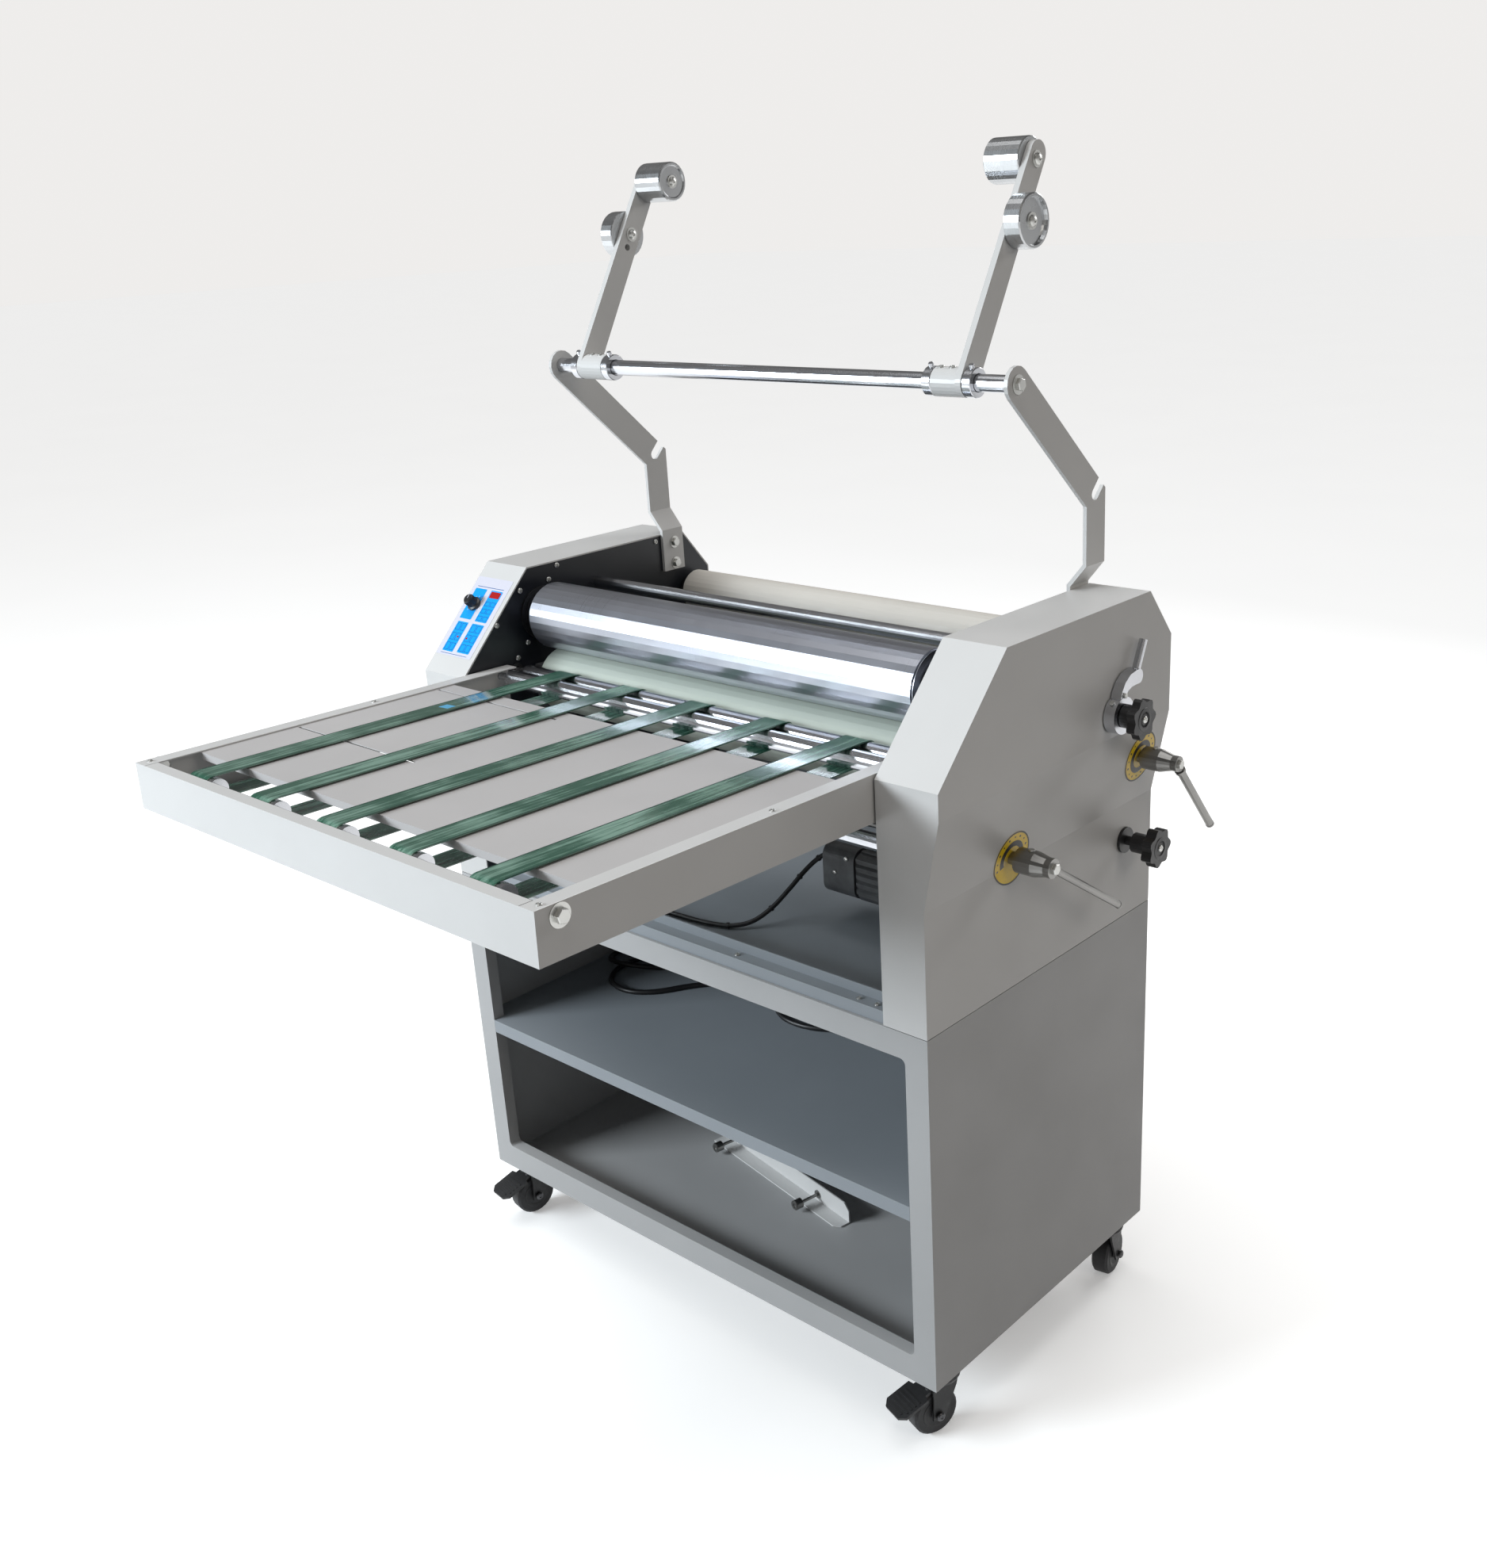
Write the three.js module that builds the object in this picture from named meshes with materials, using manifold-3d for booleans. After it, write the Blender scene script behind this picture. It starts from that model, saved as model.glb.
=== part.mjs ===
// Roll laminator on a storage cabinet: feed table with belts, nip rollers, pull rollers and film arms.
// Millimetres, +X to the operator's right, +Y towards the outfeed side, +Z up.
// The machine is drawn with Y = 0 at the cabinet's front, then centred over the floor at the end.
import * as THREE from 'three';
import { mergeVertices } from 'three/addons/utils/BufferGeometryUtils.js';
import Module from 'manifold-3d';

const wasm = await Module();
wasm.setup();

// ---------------------------------------------------------------- driving dimensions
const GAP = 0.3; // clearance between touching pieces
const RUN = 0.4; // radial clearance of a shaft in its hole

const CABINET = { half: 427, depth: 480, bottom: 95, top: 581, wall: 2, frame: 18, stile: 33 };
const OPENING = { low: 133, high: 547, corner: 8 };
const SHELF = { top: 349, lip: 20, sheet: 2 };
const PAN = { low: 581.3, sheet: 2, step: 16, lip: 29, stepDepth: 18, front: 4 };

const REAR_PANEL = { y: 474, top: 815 };

const CASING = { low: 582, inner: 363.6, wide: 450, wall: 2, flareLow: 738, flareHigh: 849.5 };
const NOSE = { z: 881.7, slopeY: 127.4, slopeZ: 1012 };
const TAIL = { topY: 427.5, topZ: 1013.2, z: 949 };
const PLATE = { inner: 363.6, outer: 371.6 };
const PLATE_FACE = PLATE.inner - GAP;

const MAIN = { y: 147, z: 944, r: 46, half: 335, journal: 20, bore: 8, wall: 10 };
const LOWER = { y: 147, z: 852.6, r: 45, half: 330, journal: 12 };
const UPPER_PULL = { y: 440, z: 919, r: 31, half: 350, journal: 12 };
const LOWER_PULL = { y: 440, z: 861.6, r: 26, half: 338, journal: 10 };
const LOWER_CARRIER = { blockX: 341, blockHalf: 25, low: 771.5, high: 790, front: 134, rear: 166 };
const PULL_CARRIER = { blockX: 345, blockHalf: 20, low: 821, high: 831, front: 419, rear: 443 };
const GUIDE_BAR = { y: 255, z: 967, r: 8.5 };
const TIE_SHAFT = { y: 120, z: 745, r: 11 };

const LEVER_SHAFT_R = 8;
const CAM = { r: 14, throw: 6, x: 350, width: 12 };
const FRONT_LEVER = {
  y: 162, z: 750.5, hubStart: 441, hubEnd: 480, hubR: 15.5, endR: 12,
  handleX: 476, handleR: 4.8, handleLift: 2.5, handleLength: 194, tilt: -34,
};
const REAR_LEVER = {
  y: 429, z: 800, hubStart: 447, hubEnd: 487, hubR: 14.5, endR: 10,
  handleX: 491, handleR: 5.4, handleLift: 0, handleLength: 143, tilt: -49.8,
};

const TABLE = {
  half: 361, front: -468, rear: 73, top: 884.5, height: 56,
  sheet: 1.5, flange: 21, frontFlange: 16, lowFlange: 14,
};
const TABLE_PLATE = { half: 357, front: -398, rear: -33, lip: 9 };
const PLATE_SLOTS = { from: -337, to: -96, wide: 4, stations: [-271, -62] };
const TABLE_TILT = THREE.MathUtils.degToRad(-1.27);
const BELT_AXIS = { y: 90, z: 872 };
const BELT = { inner: 12.8, thick: 1.2, width: 36, pitch: 128.5, middle: 6 };
const BELT_ROLLER = { r: 12.5, half: 335, journal: 6 };
const FRONT_SHAFT = { y: -442, r: 5, pulleyR: 12.5, pulleyLeft: 19, pulleyRight: 27 };
const SECOND_ROLLER = { y: 60, z: 872, r: 11.9 };

const FILM_BAR = { y: 242, z: 1274, r: 10 };
const BRACKET = {
  front: 384, rear: 425, low: 957, top: 1310, inner: 358.3, outer: 381, thick: 5, bendLow: 1018, bendHigh: 1045,
};
const ARM_STRIP = { half: 20.3, lean: 137.5 }; // half width of the sloping strip, and its direction from +Y
const HOOK = { y: 402.5, z: 1129, r: 7.5, open: 46, length: 40 };
const ARM = { thick: 8, width: 30, reach: 275, lean: 30, hole: 174, sleeve: 17 };
const UPPER_HUB = { reach: 268.5, r: 25.5, length: 49 };
const LOWER_HUB = { reach: 193, r: 30.5, length: 22.5 };
const LEFT_ARM_X = -323; // inner face of the left arm
const RIGHT_ARM_X = 312; // inner face of the right arm

const CASTER = { x: 396, front: 46, rear: 434, r: 32, width: 24, trail: 13, leg: 15, legThick: 3 };
const PEDAL = { hinge: 8, z: 73, reach: 76, drop: 18.4 };
const MOTOR = { y: 210, z: 661, halfY: 40, halfZ: 34, coverStart: 128, coverEnd: 180, bodyEnd: 262 };
const SPROCKET = { x0: 380, x1: 388, mainR: 48, motorR: 38.4, tooth: 4 };
const DECURL = { y: 345, z: 880, shaft: 9, ring: 23, x0: 451.5, x1: 466 };
const LOWER_KNOB = { y: 415, z: 689 };
const KNOB_LOBES = 7;
const SPEED_KNOB = { x: -424, along: 112, r: 8.2, height: 16, lift: 1.2 };
const LEAD_R = 4;
const MOTOR_CABLE_R = 3.2;
const GLAND = { x: -300, y: 440, tip: 545, bodyR: 8, flangeR: 12 };
const GUIDE = { long: 310, wide: 24, tall: 30, sheet: 2, turn: -11, x: -190, y: 236, z: 98.3 };

// ---------------------------------------------------------------- materials
const paint = (color, roughness, metalness) => new THREE.MeshStandardMaterial({ color, roughness, metalness });
const MATERIAL = {
  whitePaint: paint(0xd9dad8, 0.55, 0.1),
  greyPaint: paint(0xa9adb1, 0.6, 0.1),
  innerPaint: paint(0x8a8c8e, 0.6, 0.1),
  blackPlate: paint(0x24262a, 0.6, 0.2),
  chrome: paint(0xd8dade, 0.12, 1.0),
  steel: paint(0x9fa1a3, 0.35, 0.9),
  rubberCream: paint(0xcfd6cb, 0.7, 0.0),
  rubberBeige: paint(0xc9c2b6, 0.75, 0.0),
  belt: paint(0x2f6a55, 0.35, 0.0),
  tablePaint: paint(0xb5b1b0, 0.75, 0.1),
  castIron: paint(0x3a3c3f, 0.65, 0.4),
  blackPlastic: paint(0x141416, 0.4, 0.0),
  tyre: paint(0x1c1c1e, 0.6, 0.0),
  cord: paint(0x101012, 0.55, 0.0),
};

// ---------------------------------------------------------------- geometry helpers
function signedVolume(positions, index) {
  let sum = 0;
  const [a, b, c] = [new THREE.Vector3(), new THREE.Vector3(), new THREE.Vector3()];
  for (let i = 0; i < index.length; i += 3) {
    a.fromArray(positions, 3 * index[i]);
    b.fromArray(positions, 3 * index[i + 1]);
    c.fromArray(positions, 3 * index[i + 2]);
    sum += a.dot(b.cross(c));
  }
  return sum / 6;
}

// One closed surface: shared corners, no empty triangles, faces pointing out.
function closed(geometry) {
  const bare = geometry.clone();
  bare.deleteAttribute('normal');
  bare.deleteAttribute('uv');
  const merged = mergeVertices(bare, 1e-4);
  const source = merged.index.array;
  const index = [];
  for (let i = 0; i < source.length; i += 3) {
    const [a, b, c] = [source[i], source[i + 1], source[i + 2]];
    if (a !== b && b !== c && c !== a) index.push(a, b, c);
  }
  const positions = merged.attributes.position.array;
  if (signedVolume(positions, index) < 0) index.reverse();
  const result = new THREE.BufferGeometry();
  result.setAttribute('position', new THREE.BufferAttribute(new Float32Array(positions), 3));
  result.setIndex(index);
  return result;
}

function toSolid(geometry) {
  const shell = closed(geometry);
  const vertProperties = new Float32Array(shell.attributes.position.array);
  const triVerts = new Uint32Array(shell.index.array);
  return new wasm.Manifold(new wasm.Mesh({ numProp: 3, vertProperties, triVerts }));
}

function fromSolid(solid) {
  const mesh = solid.getMesh();
  const geometry = new THREE.BufferGeometry();
  geometry.setAttribute('position', new THREE.BufferAttribute(new Float32Array(mesh.vertProperties), 3));
  geometry.setIndex(Array.from(mesh.triVerts));
  return geometry;
}

const join = (...pieces) => fromSolid(pieces.map(toSolid).reduce((whole, next) => whole.add(next)));
const cut = (body, ...tools) => fromSolid(
  tools.map(toSolid).reduce((left, tool) => left.subtract(tool), toSolid(body)),
);
const common = (a, b) => fromSolid(toSolid(a).intersect(toSolid(b)));

function box(x0, x1, y0, y1, z0, z1) {
  const geometry = new THREE.BoxGeometry(x1 - x0, y1 - y0, z1 - z0);
  return geometry.translate((x0 + x1) / 2, (y0 + y1) / 2, (z0 + z1) / 2);
}

function mirrorX(geometry) {
  return closed(geometry.clone().scale(-1, 1, 1));
}

const shapeOf = (points) => new THREE.Shape(points.map(([u, v]) => new THREE.Vector2(u, v)));
const asShape = (outline) => (outline instanceof THREE.Shape ? outline : shapeOf(outline));

// Outlines in the YZ plane drawn out along X, in XZ along Y, and in XY along Z.
const extrude = (outline, depth) => new THREE.ExtrudeGeometry(
  asShape(outline),
  { depth, bevelEnabled: false, curveSegments: 4 },
);

function prismX(outline, x0, x1) {
  const geometry = extrude(outline, x1 - x0);
  const turn = new THREE.Matrix4().set(0, 0, 1, x0, 1, 0, 0, 0, 0, 1, 0, 0, 0, 0, 0, 1);
  return geometry.applyMatrix4(turn);
}

const prismY = (outline, y0, y1) => extrude(outline, y1 - y0).rotateX(Math.PI / 2).translate(0, y1, 0);

const prismZ = (outline, z0, z1) => extrude(outline, z1 - z0).translate(0, 0, z0);

// A turned piece: profile points are [station along the axis, radius].
function lathe(profile, segments) {
  return new THREE.LatheGeometry(profile.map(([s, r]) => new THREE.Vector2(r, s)), segments);
}

function turnedX(profile, y, z, segments = 24) {
  return closed(lathe(profile, segments).rotateZ(-Math.PI / 2).translate(0, y, z));
}

function turnedZ(profile, x, y, segments = 20) {
  return closed(lathe(profile, segments).rotateX(Math.PI / 2).translate(x, y, 0));
}

const rodX = (y, z, r, x0, x1, segments = 20) => turnedX(
  [[x0, 0], [x0, r], [x1, r], [x1, 0]],
  y, z, segments,
);

function roundedRect(u0, u1, v0, v1, r) {
  const shape = new THREE.Shape();
  shape.absarc(u1 - r, v1 - r, r, 0, Math.PI / 2);
  shape.absarc(u0 + r, v1 - r, r, Math.PI / 2, Math.PI);
  shape.absarc(u0 + r, v0 + r, r, Math.PI, 1.5 * Math.PI);
  shape.absarc(u1 - r, v0 + r, r, 1.5 * Math.PI, 2 * Math.PI);
  return shape;
}

// A long hole or a belt loop: the outline around two equal or unequal circles.
function loopOutline(a, ra, b, rb, segments = 20) {
  const along = Math.atan2(b.v - a.v, b.u - a.u);
  const distance = Math.hypot(b.u - a.u, b.v - a.v);
  const open = Math.acos((ra - rb) / distance);
  const points = [];
  for (let i = 0; i <= segments; i += 1) {
    const t = along + open + (i / segments) * (2 * Math.PI - 2 * open);
    points.push([a.u + ra * Math.cos(t), a.v + ra * Math.sin(t)]);
  }
  for (let i = 0; i <= segments; i += 1) {
    const t = along - open + (i / segments) * 2 * open;
    points.push([b.u + rb * Math.cos(t), b.v + rb * Math.sin(t)]);
  }
  return points;
}

function sweep(points, radius, steps, sides) {
  const curve = new THREE.CatmullRomCurve3(points.map((p) => new THREE.Vector3(...p)), false, 'centripetal');
  const section = new THREE.Shape();
  for (let i = 0; i < sides; i += 1) {
    const t = (2 * Math.PI * i) / sides;
    if (i === 0) section.moveTo(radius, 0);
    else section.lineTo(radius * Math.cos(t), radius * Math.sin(t));
  }
  return closed(new THREE.ExtrudeGeometry(section, { steps, bevelEnabled: false, extrudePath: curve }));
}

const polar = (angleDegrees, length) => {
  const t = THREE.MathUtils.degToRad(angleDegrees);
  return [length * Math.cos(t), length * Math.sin(t)];
};

const machine = new THREE.Group();

function add(name, geometry, material, parent = machine) {
  const piece = new THREE.Mesh(closed(geometry), material);
  piece.name = name;
  parent.add(piece);
  return piece;
}

// ---------------------------------------------------------------- cabinet
function cabinetBody() {
  const { half, depth, bottom, top, wall, frame, stile } = CABINET;
  const shell = box(-half, half, 0, depth, bottom, top);
  const inside = box(-half + wall, half - wall, frame, depth - wall, bottom + 3, top + 5);
  const doorway = roundedRect(-half + stile, half - stile, OPENING.low, OPENING.high, OPENING.corner);
  const door = prismY(doorway, -1, frame + 1);
  return cut(shell, inside, door);
}

function storageShelf() {
  const inset = CABINET.half - CABINET.stile - GAP;
  const wide = CABINET.half - CABINET.wall - GAP;
  const notch = CABINET.frame + GAP;
  const rear = CABINET.depth - CABINET.wall - GAP;
  const outline = [[-inset, 0], [inset, 0], [inset, notch], [wide, notch], [wide, rear], [-wide, rear],
    [-wide, notch], [-inset, notch]];
  const panel = prismZ(outline, SHELF.top - SHELF.sheet, SHELF.top);
  const lip = box(-inset, inset, 0, SHELF.sheet, SHELF.top - SHELF.lip, SHELF.top);
  return join(panel, lip);
}

function basePan() {
  const { low, sheet, step, lip, stepDepth, front } = PAN;
  const back = CABINET.depth - 8;
  const lipY = front + stepDepth;
  const profile = [[front, low], [back, low], [back, low + sheet], [lipY + sheet, low + sheet],
    [lipY + sheet, low + lip], [lipY, low + lip], [lipY, low + step], [front, low + step]];
  const holeR = GLAND.bodyR + RUN;
  const glandHole = turnedZ([[low - 5, 0], [low - 5, holeR], [low + 9, holeR], [low + 9, 0]], GLAND.x, GLAND.y);
  return cut(prismX(profile, -PLATE_FACE, PLATE_FACE), glandHole);
}

add('cabinet_body', cabinetBody(), MATERIAL.greyPaint);
add('storage_shelf', storageShelf(), MATERIAL.greyPaint);
add('base_pan', basePan(), MATERIAL.greyPaint);
add('rear_panel', box(-PLATE_FACE, PLATE_FACE, REAR_PANEL.y, REAR_PANEL.y + 2, PAN.low + GAP, REAR_PANEL.top),
  MATERIAL.innerPaint);

// ---------------------------------------------------------------- side plates and casings
// Side outline shared by casings and plates, moved in by an inset all round.
function sideOutline(inset, low) {
  const slope = Math.atan2(NOSE.slopeZ - NOSE.z, NOSE.slopeY);
  const chamfer = Math.atan2(TAIL.topZ - TAIL.z, CABINET.depth - TAIL.topY);
  const foldShift = inset * Math.tan(slope / 2);
  const tailShift = inset * Math.tan(chamfer / 2);
  const rear = CABINET.depth - inset;
  return [[inset, low], [rear, low], [rear, TAIL.z - tailShift], [TAIL.topY - tailShift, TAIL.topZ - inset],
    [NOSE.slopeY + foldShift, NOSE.slopeZ - inset], [inset, NOSE.z - foldShift]];
}

function casingFront(inset, inner) {
  const side = CABINET.half - inset;
  const wide = CASING.wide - inset;
  const low = inset > 0 ? CASING.low - 10 : CASING.low;
  const top = TAIL.topZ + 10;
  const { flareLow, flareHigh } = CASING;
  return [[inner, low], [side, low], [side, flareLow], [wide, flareHigh], [wide, top], [inner, top]];
}

function casing() {
  const { inner, wide, wall, low } = CASING;
  const outside = common(
    prismX(sideOutline(0, low), inner, wide),
    prismY(casingFront(0, inner), -1, CABINET.depth + 1),
  );
  const inside = common(
    prismX(sideOutline(wall, low - 10), inner - 20, wide),
    prismY(casingFront(wall, inner - 20), -1, CABINET.depth + 1),
  );
  return cut(outside, inside);
}

function sidePlate() {
  return prismX(sideOutline(CASING.wall + GAP, PAN.low), PLATE.inner, PLATE.outer);
}

const plateHole = ({ y, z }, r) => rodX(y, z, r + RUN, PLATE.inner - 5, PLATE.outer + 5);
const casingHole = ({ y, z }, r) => rodX(y, z, r, PLATE.outer + 20, CASING.wide + 5);
const CABLE_HOLE = { y: 60, z: 606, r: 8 };
const commonHoles = [
  plateHole(MAIN, MAIN.journal),
  plateHole(UPPER_PULL, UPPER_PULL.journal),
  plateHole(FRONT_LEVER, LEVER_SHAFT_R),
  plateHole(REAR_LEVER, LEVER_SHAFT_R),
  plateHole(BELT_AXIS, BELT_ROLLER.journal),
];
const leftPlateHoles = [...commonHoles, plateHole(CABLE_HOLE, CABLE_HOLE.r)];
const rightPlateHoles = [
  ...commonHoles,
  plateHole(MOTOR, 13),
  plateHole(DECURL, DECURL.shaft),
  plateHole(LOWER_KNOB, 6),
];
const rightCasingHoles = [
  casingHole(FRONT_LEVER, LEVER_SHAFT_R + 2),
  casingHole(REAR_LEVER, LEVER_SHAFT_R + 2),
  casingHole(DECURL, DECURL.shaft + 1),
  casingHole(LOWER_KNOB, 9),
];

add('left_side_plate', mirrorX(cut(sidePlate(), ...leftPlateHoles)), MATERIAL.blackPlate);
add('right_side_plate', cut(sidePlate(), ...rightPlateHoles), MATERIAL.blackPlate);
add('left_casing', mirrorX(casing()), MATERIAL.whitePaint);
add('right_casing', cut(casing(), ...rightCasingHoles), MATERIAL.whitePaint);

// ---------------------------------------------------------------- rollers and their carriers
function tubeRoller({ y, z, r, half, journal, bore, wall }, leftEnd, rightEnd) {
  const outer = [[leftEnd, journal], [-half, journal], [-half, r], [half, r], [half, journal], [rightEnd, journal]];
  const end = half - wall;
  const inner = [[rightEnd, bore], [end, bore], [end, r - wall], [-end, r - wall], [-end, bore], [leftEnd, bore]];
  return turnedX([...outer, ...inner, outer[0]], y, z, 32);
}

function solidRoller({ y, z, r, half, journal }, end, segments = 28) {
  const profile = [[-end, 0], [-end, journal], [-half, journal], [-half, r], [half, r], [half, journal],
    [end, journal], [end, 0]];
  return turnedX(profile, y, z, segments);
}

const span = (a, b) => [Math.min(a, b), Math.max(a, b)];

// Two bearing blocks joined by a beam that rests on the cams.
function carrier(roller, { blockX, blockHalf, low, high, front, rear }) {
  const end = PLATE_FACE - 3;
  const top = roller.z + 22;
  const [near, far] = [roller.y - blockHalf, roller.y + blockHalf];
  const block = (side) => box(...span(side * blockX, side * end), near, far, low, top);
  const beam = box(-end, end, front, rear, low, high);
  const bore = rodX(roller.y, roller.z, roller.journal + RUN, -end - 5, end + 5);
  return cut(join(block(-1), block(1), beam), bore);
}

add('main_roller', tubeRoller(MAIN, -376, 398), MATERIAL.chrome);
add('lower_roller', solidRoller(LOWER, 358, 32), MATERIAL.rubberCream);
add('lower_roller_carrier', carrier(LOWER, LOWER_CARRIER), MATERIAL.castIron);
add('upper_pull_roller', solidRoller(UPPER_PULL, 370), MATERIAL.rubberBeige);
add('lower_pull_roller', solidRoller(LOWER_PULL, 358), MATERIAL.rubberBeige);
add('pull_roller_carrier', carrier(LOWER_PULL, PULL_CARRIER), MATERIAL.castIron);
add('guide_bar', rodX(GUIDE_BAR.y, GUIDE_BAR.z, GUIDE_BAR.r, -PLATE_FACE, PLATE_FACE), MATERIAL.chrome);
add('tie_shaft', rodX(TIE_SHAFT.y, TIE_SHAFT.z, TIE_SHAFT.r, -PLATE_FACE, PLATE_FACE), MATERIAL.chrome);

// ---------------------------------------------------------------- pressure levers
// A cross shaft with a lifting cam at each end, a taper hub outside the casing and a handle rod.
function pressureLever(lever) {
  const { y, z, hubStart, hubEnd, hubR, endR, handleX, handleR, handleLift, handleLength, tilt } = lever;
  const shaft = rodX(y, z, LEVER_SHAFT_R, -PLATE.outer - 2, hubStart + 5, 16);
  const around = (x, half) => [x - half, x + half];
  const cams = [-CAM.x, CAM.x].map((x) => rodX(y, z + CAM.throw, CAM.r, ...around(x, CAM.width / 2)));
  const taperStart = hubStart + 0.6 * (hubEnd - hubStart);
  const hub = turnedX([[hubStart, 0], [hubStart, hubR], [taperStart, hubR], [hubEnd, endR], [hubEnd + 8, endR],
    [hubEnd + 8, 0]], y, z, 20);
  const handle = new THREE.CylinderGeometry(handleR, handleR, handleLength, 12);
  handle.translate(0, handleLength / 2, 0).rotateX(THREE.MathUtils.degToRad(tilt));
  handle.translate(handleX, y, z + handleLift);
  return join(shaft, ...cams, hub, handle);
}

add('front_pressure_lever', pressureLever(FRONT_LEVER), MATERIAL.steel);
add('rear_pressure_lever', pressureLever(REAR_LEVER), MATERIAL.steel);

// ---------------------------------------------------------------- star knobs and curl bar lever
function starKnob({ y, z }, stem, hub, head) {
  const rim = [];
  const points = KNOB_LOBES * 6;
  for (let i = 0; i < points; i += 1) {
    const t = (2 * Math.PI * i) / points;
    const radius = head.r + 2.6 * Math.cos(KNOB_LOBES * t);
    rim.push([y + radius * Math.cos(t), z + radius * Math.sin(t)]);
  }
  return join(
    rodX(y, z, stem.r, stem.x0, hub.x0 + 1),
    rodX(y, z, hub.r, hub.x0, head.x0 + 1, 24),
    prismX(rim, head.x0, head.x1),
  );
}

// Clamp ring on the curl bar's shaft, with a curved finger that holds a short handle rod.
function decurlLever() {
  const { y, z, shaft, ring, x0, x1 } = DECURL;
  const finger = new THREE.Shape();
  finger.moveTo(y - 10, z + 13);
  finger.bezierCurveTo(y - 7, z + 35, y + 7, z + 50, y + 29, z + 50);
  finger.absarc(y + 33, z + 40.5, 9.5, 1.9, -1.1, true);
  finger.bezierCurveTo(y + 23, z + 32, y + 11, z + 34, y + 2, z + 22);
  finger.lineTo(y, z + 13);
  const handle = new THREE.CylinderGeometry(5, 5, 40, 12).translate(0, 20, 0);
  handle.rotateX(THREE.MathUtils.degToRad(65)).translate((x0 + x1) / 2, y + 36, z + 45);
  return join(
    rodX(y, z, shaft, PLATE.inner + 1, x1),
    rodX(y, z, ring, x0, x1, 28),
    prismX(finger, x0 + 0.5, x1 - 0.5),
    handle,
  );
}

add('decurl_lever', decurlLever(), MATERIAL.chrome);
add('upper_star_knob', starKnob(
  DECURL,
  { r: 5, x0: DECURL.x1 + GAP },
  { r: 14.5, x0: DECURL.x1 + 1 },
  { r: 23.3, x0: 483, x1: 494 },
), MATERIAL.blackPlastic);
add('lower_star_knob', join(
  starKnob(LOWER_KNOB, { r: 6, x0: PLATE.outer - 6 }, { r: 13, x0: 443 }, { r: 23.5, x0: 466, x1: 480 }),
  rodX(LOWER_KNOB.y, LOWER_KNOB.z, 17, CABINET.half + GAP, CABINET.half + 4, 28),
), MATERIAL.blackPlastic);

// ---------------------------------------------------------------- feed table, belts and belt rollers
// The table is drawn level and then tipped up at the front about the rear belt roller.
const table = new THREE.Group();
table.position.set(0, BELT_AXIS.y, BELT_AXIS.z);
table.rotation.x = TABLE_TILT;
machine.add(table);
const onTable = (geometry) => geometry.translate(0, -BELT_AXIS.y, -BELT_AXIS.z);

function tableFrame() {
  const { half, front, rear, top, height, sheet, flange, frontFlange, lowFlange } = TABLE;
  const low = top - height;
  const rail = (side) => {
    const strip = (width, z0, z1) => box(...span(side * (half - width), side * half), front, rear, z0, z1);
    return join(strip(sheet, low, top), strip(flange, top - sheet, top), strip(lowFlange, low, low + sheet));
  };
  const crossStrip = (width, z0, z1) => box(-half, half, front, front + width, z0, z1);
  const cross = [crossStrip(sheet, low, top), crossStrip(frontFlange, top - sheet, top),
    crossStrip(lowFlange, low, low + sheet)];
  const holeR = FRONT_SHAFT.r + 0.6;
  const slotAt = (shift) => ({ u: FRONT_SHAFT.y + shift, v: BELT_AXIS.z });
  const slot = prismX(loopOutline(slotAt(-5), holeR, slotAt(9), holeR, 8), -half - 5, half + 5);
  const rollerHole = rodX(SECOND_ROLLER.y, SECOND_ROLLER.z, holeR, -half - 5, half + 5, 16);
  return cut(join(rail(-1), rail(1), ...cross), slot, rollerHole);
}

// Folded sheet with two long slots for the side guide's thumb screws.
function tablePlate() {
  const { half, front, rear, lip } = TABLE_PLATE;
  const top = TABLE.top - TABLE.sheet - GAP;
  const sheet = box(-half, half, front, rear, top - TABLE.sheet, top);
  const frontLip = box(-half + 19, half - 19, front, front + TABLE.sheet, top - lip, top);
  const rearLip = box(-half + 19, half - 19, rear - TABLE.sheet, rear, top - lip, top);
  const slots = PLATE_SLOTS.stations.map(
    (y) => box(PLATE_SLOTS.from, PLATE_SLOTS.to, y, y + PLATE_SLOTS.wide, top - 5, top + 5),
  );
  return cut(join(sheet, frontLip, rearLip), ...slots);
}

function belt(x) {
  const rear = { u: BELT_AXIS.y, v: BELT_AXIS.z };
  const front = { u: FRONT_SHAFT.y, v: BELT_AXIS.z };
  const outer = loopOutline(rear, BELT.inner + BELT.thick, front, BELT.inner + BELT.thick, 12);
  const inner = loopOutline(rear, BELT.inner, front, BELT.inner, 12);
  const band = prismX(outer, x - BELT.width / 2, x + BELT.width / 2);
  return cut(band, prismX(inner, x - BELT.width, x + BELT.width));
}

const beltX = (i) => BELT.middle + (i - 2) * BELT.pitch;

// Shaft with one pulley under each belt, each a little wider than its belt.
function pulleyShaft(end) {
  const { y, r, pulleyR, pulleyLeft, pulleyRight } = FRONT_SHAFT;
  const profile = [[-end, 0], [-end, r]];
  for (let i = 0; i < 5; i += 1) {
    const [from, to] = [beltX(i) - pulleyLeft, beltX(i) + pulleyRight];
    profile.push([from, r], [from, pulleyR], [to, pulleyR], [to, r]);
  }
  profile.push([end, r], [end, 0]);
  return turnedX(profile, y, BELT_AXIS.z, 20);
}

const beltRoller = (place, journal, end) => solidRoller({ ...place, half: BELT_ROLLER.half, journal }, end, 20);

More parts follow.
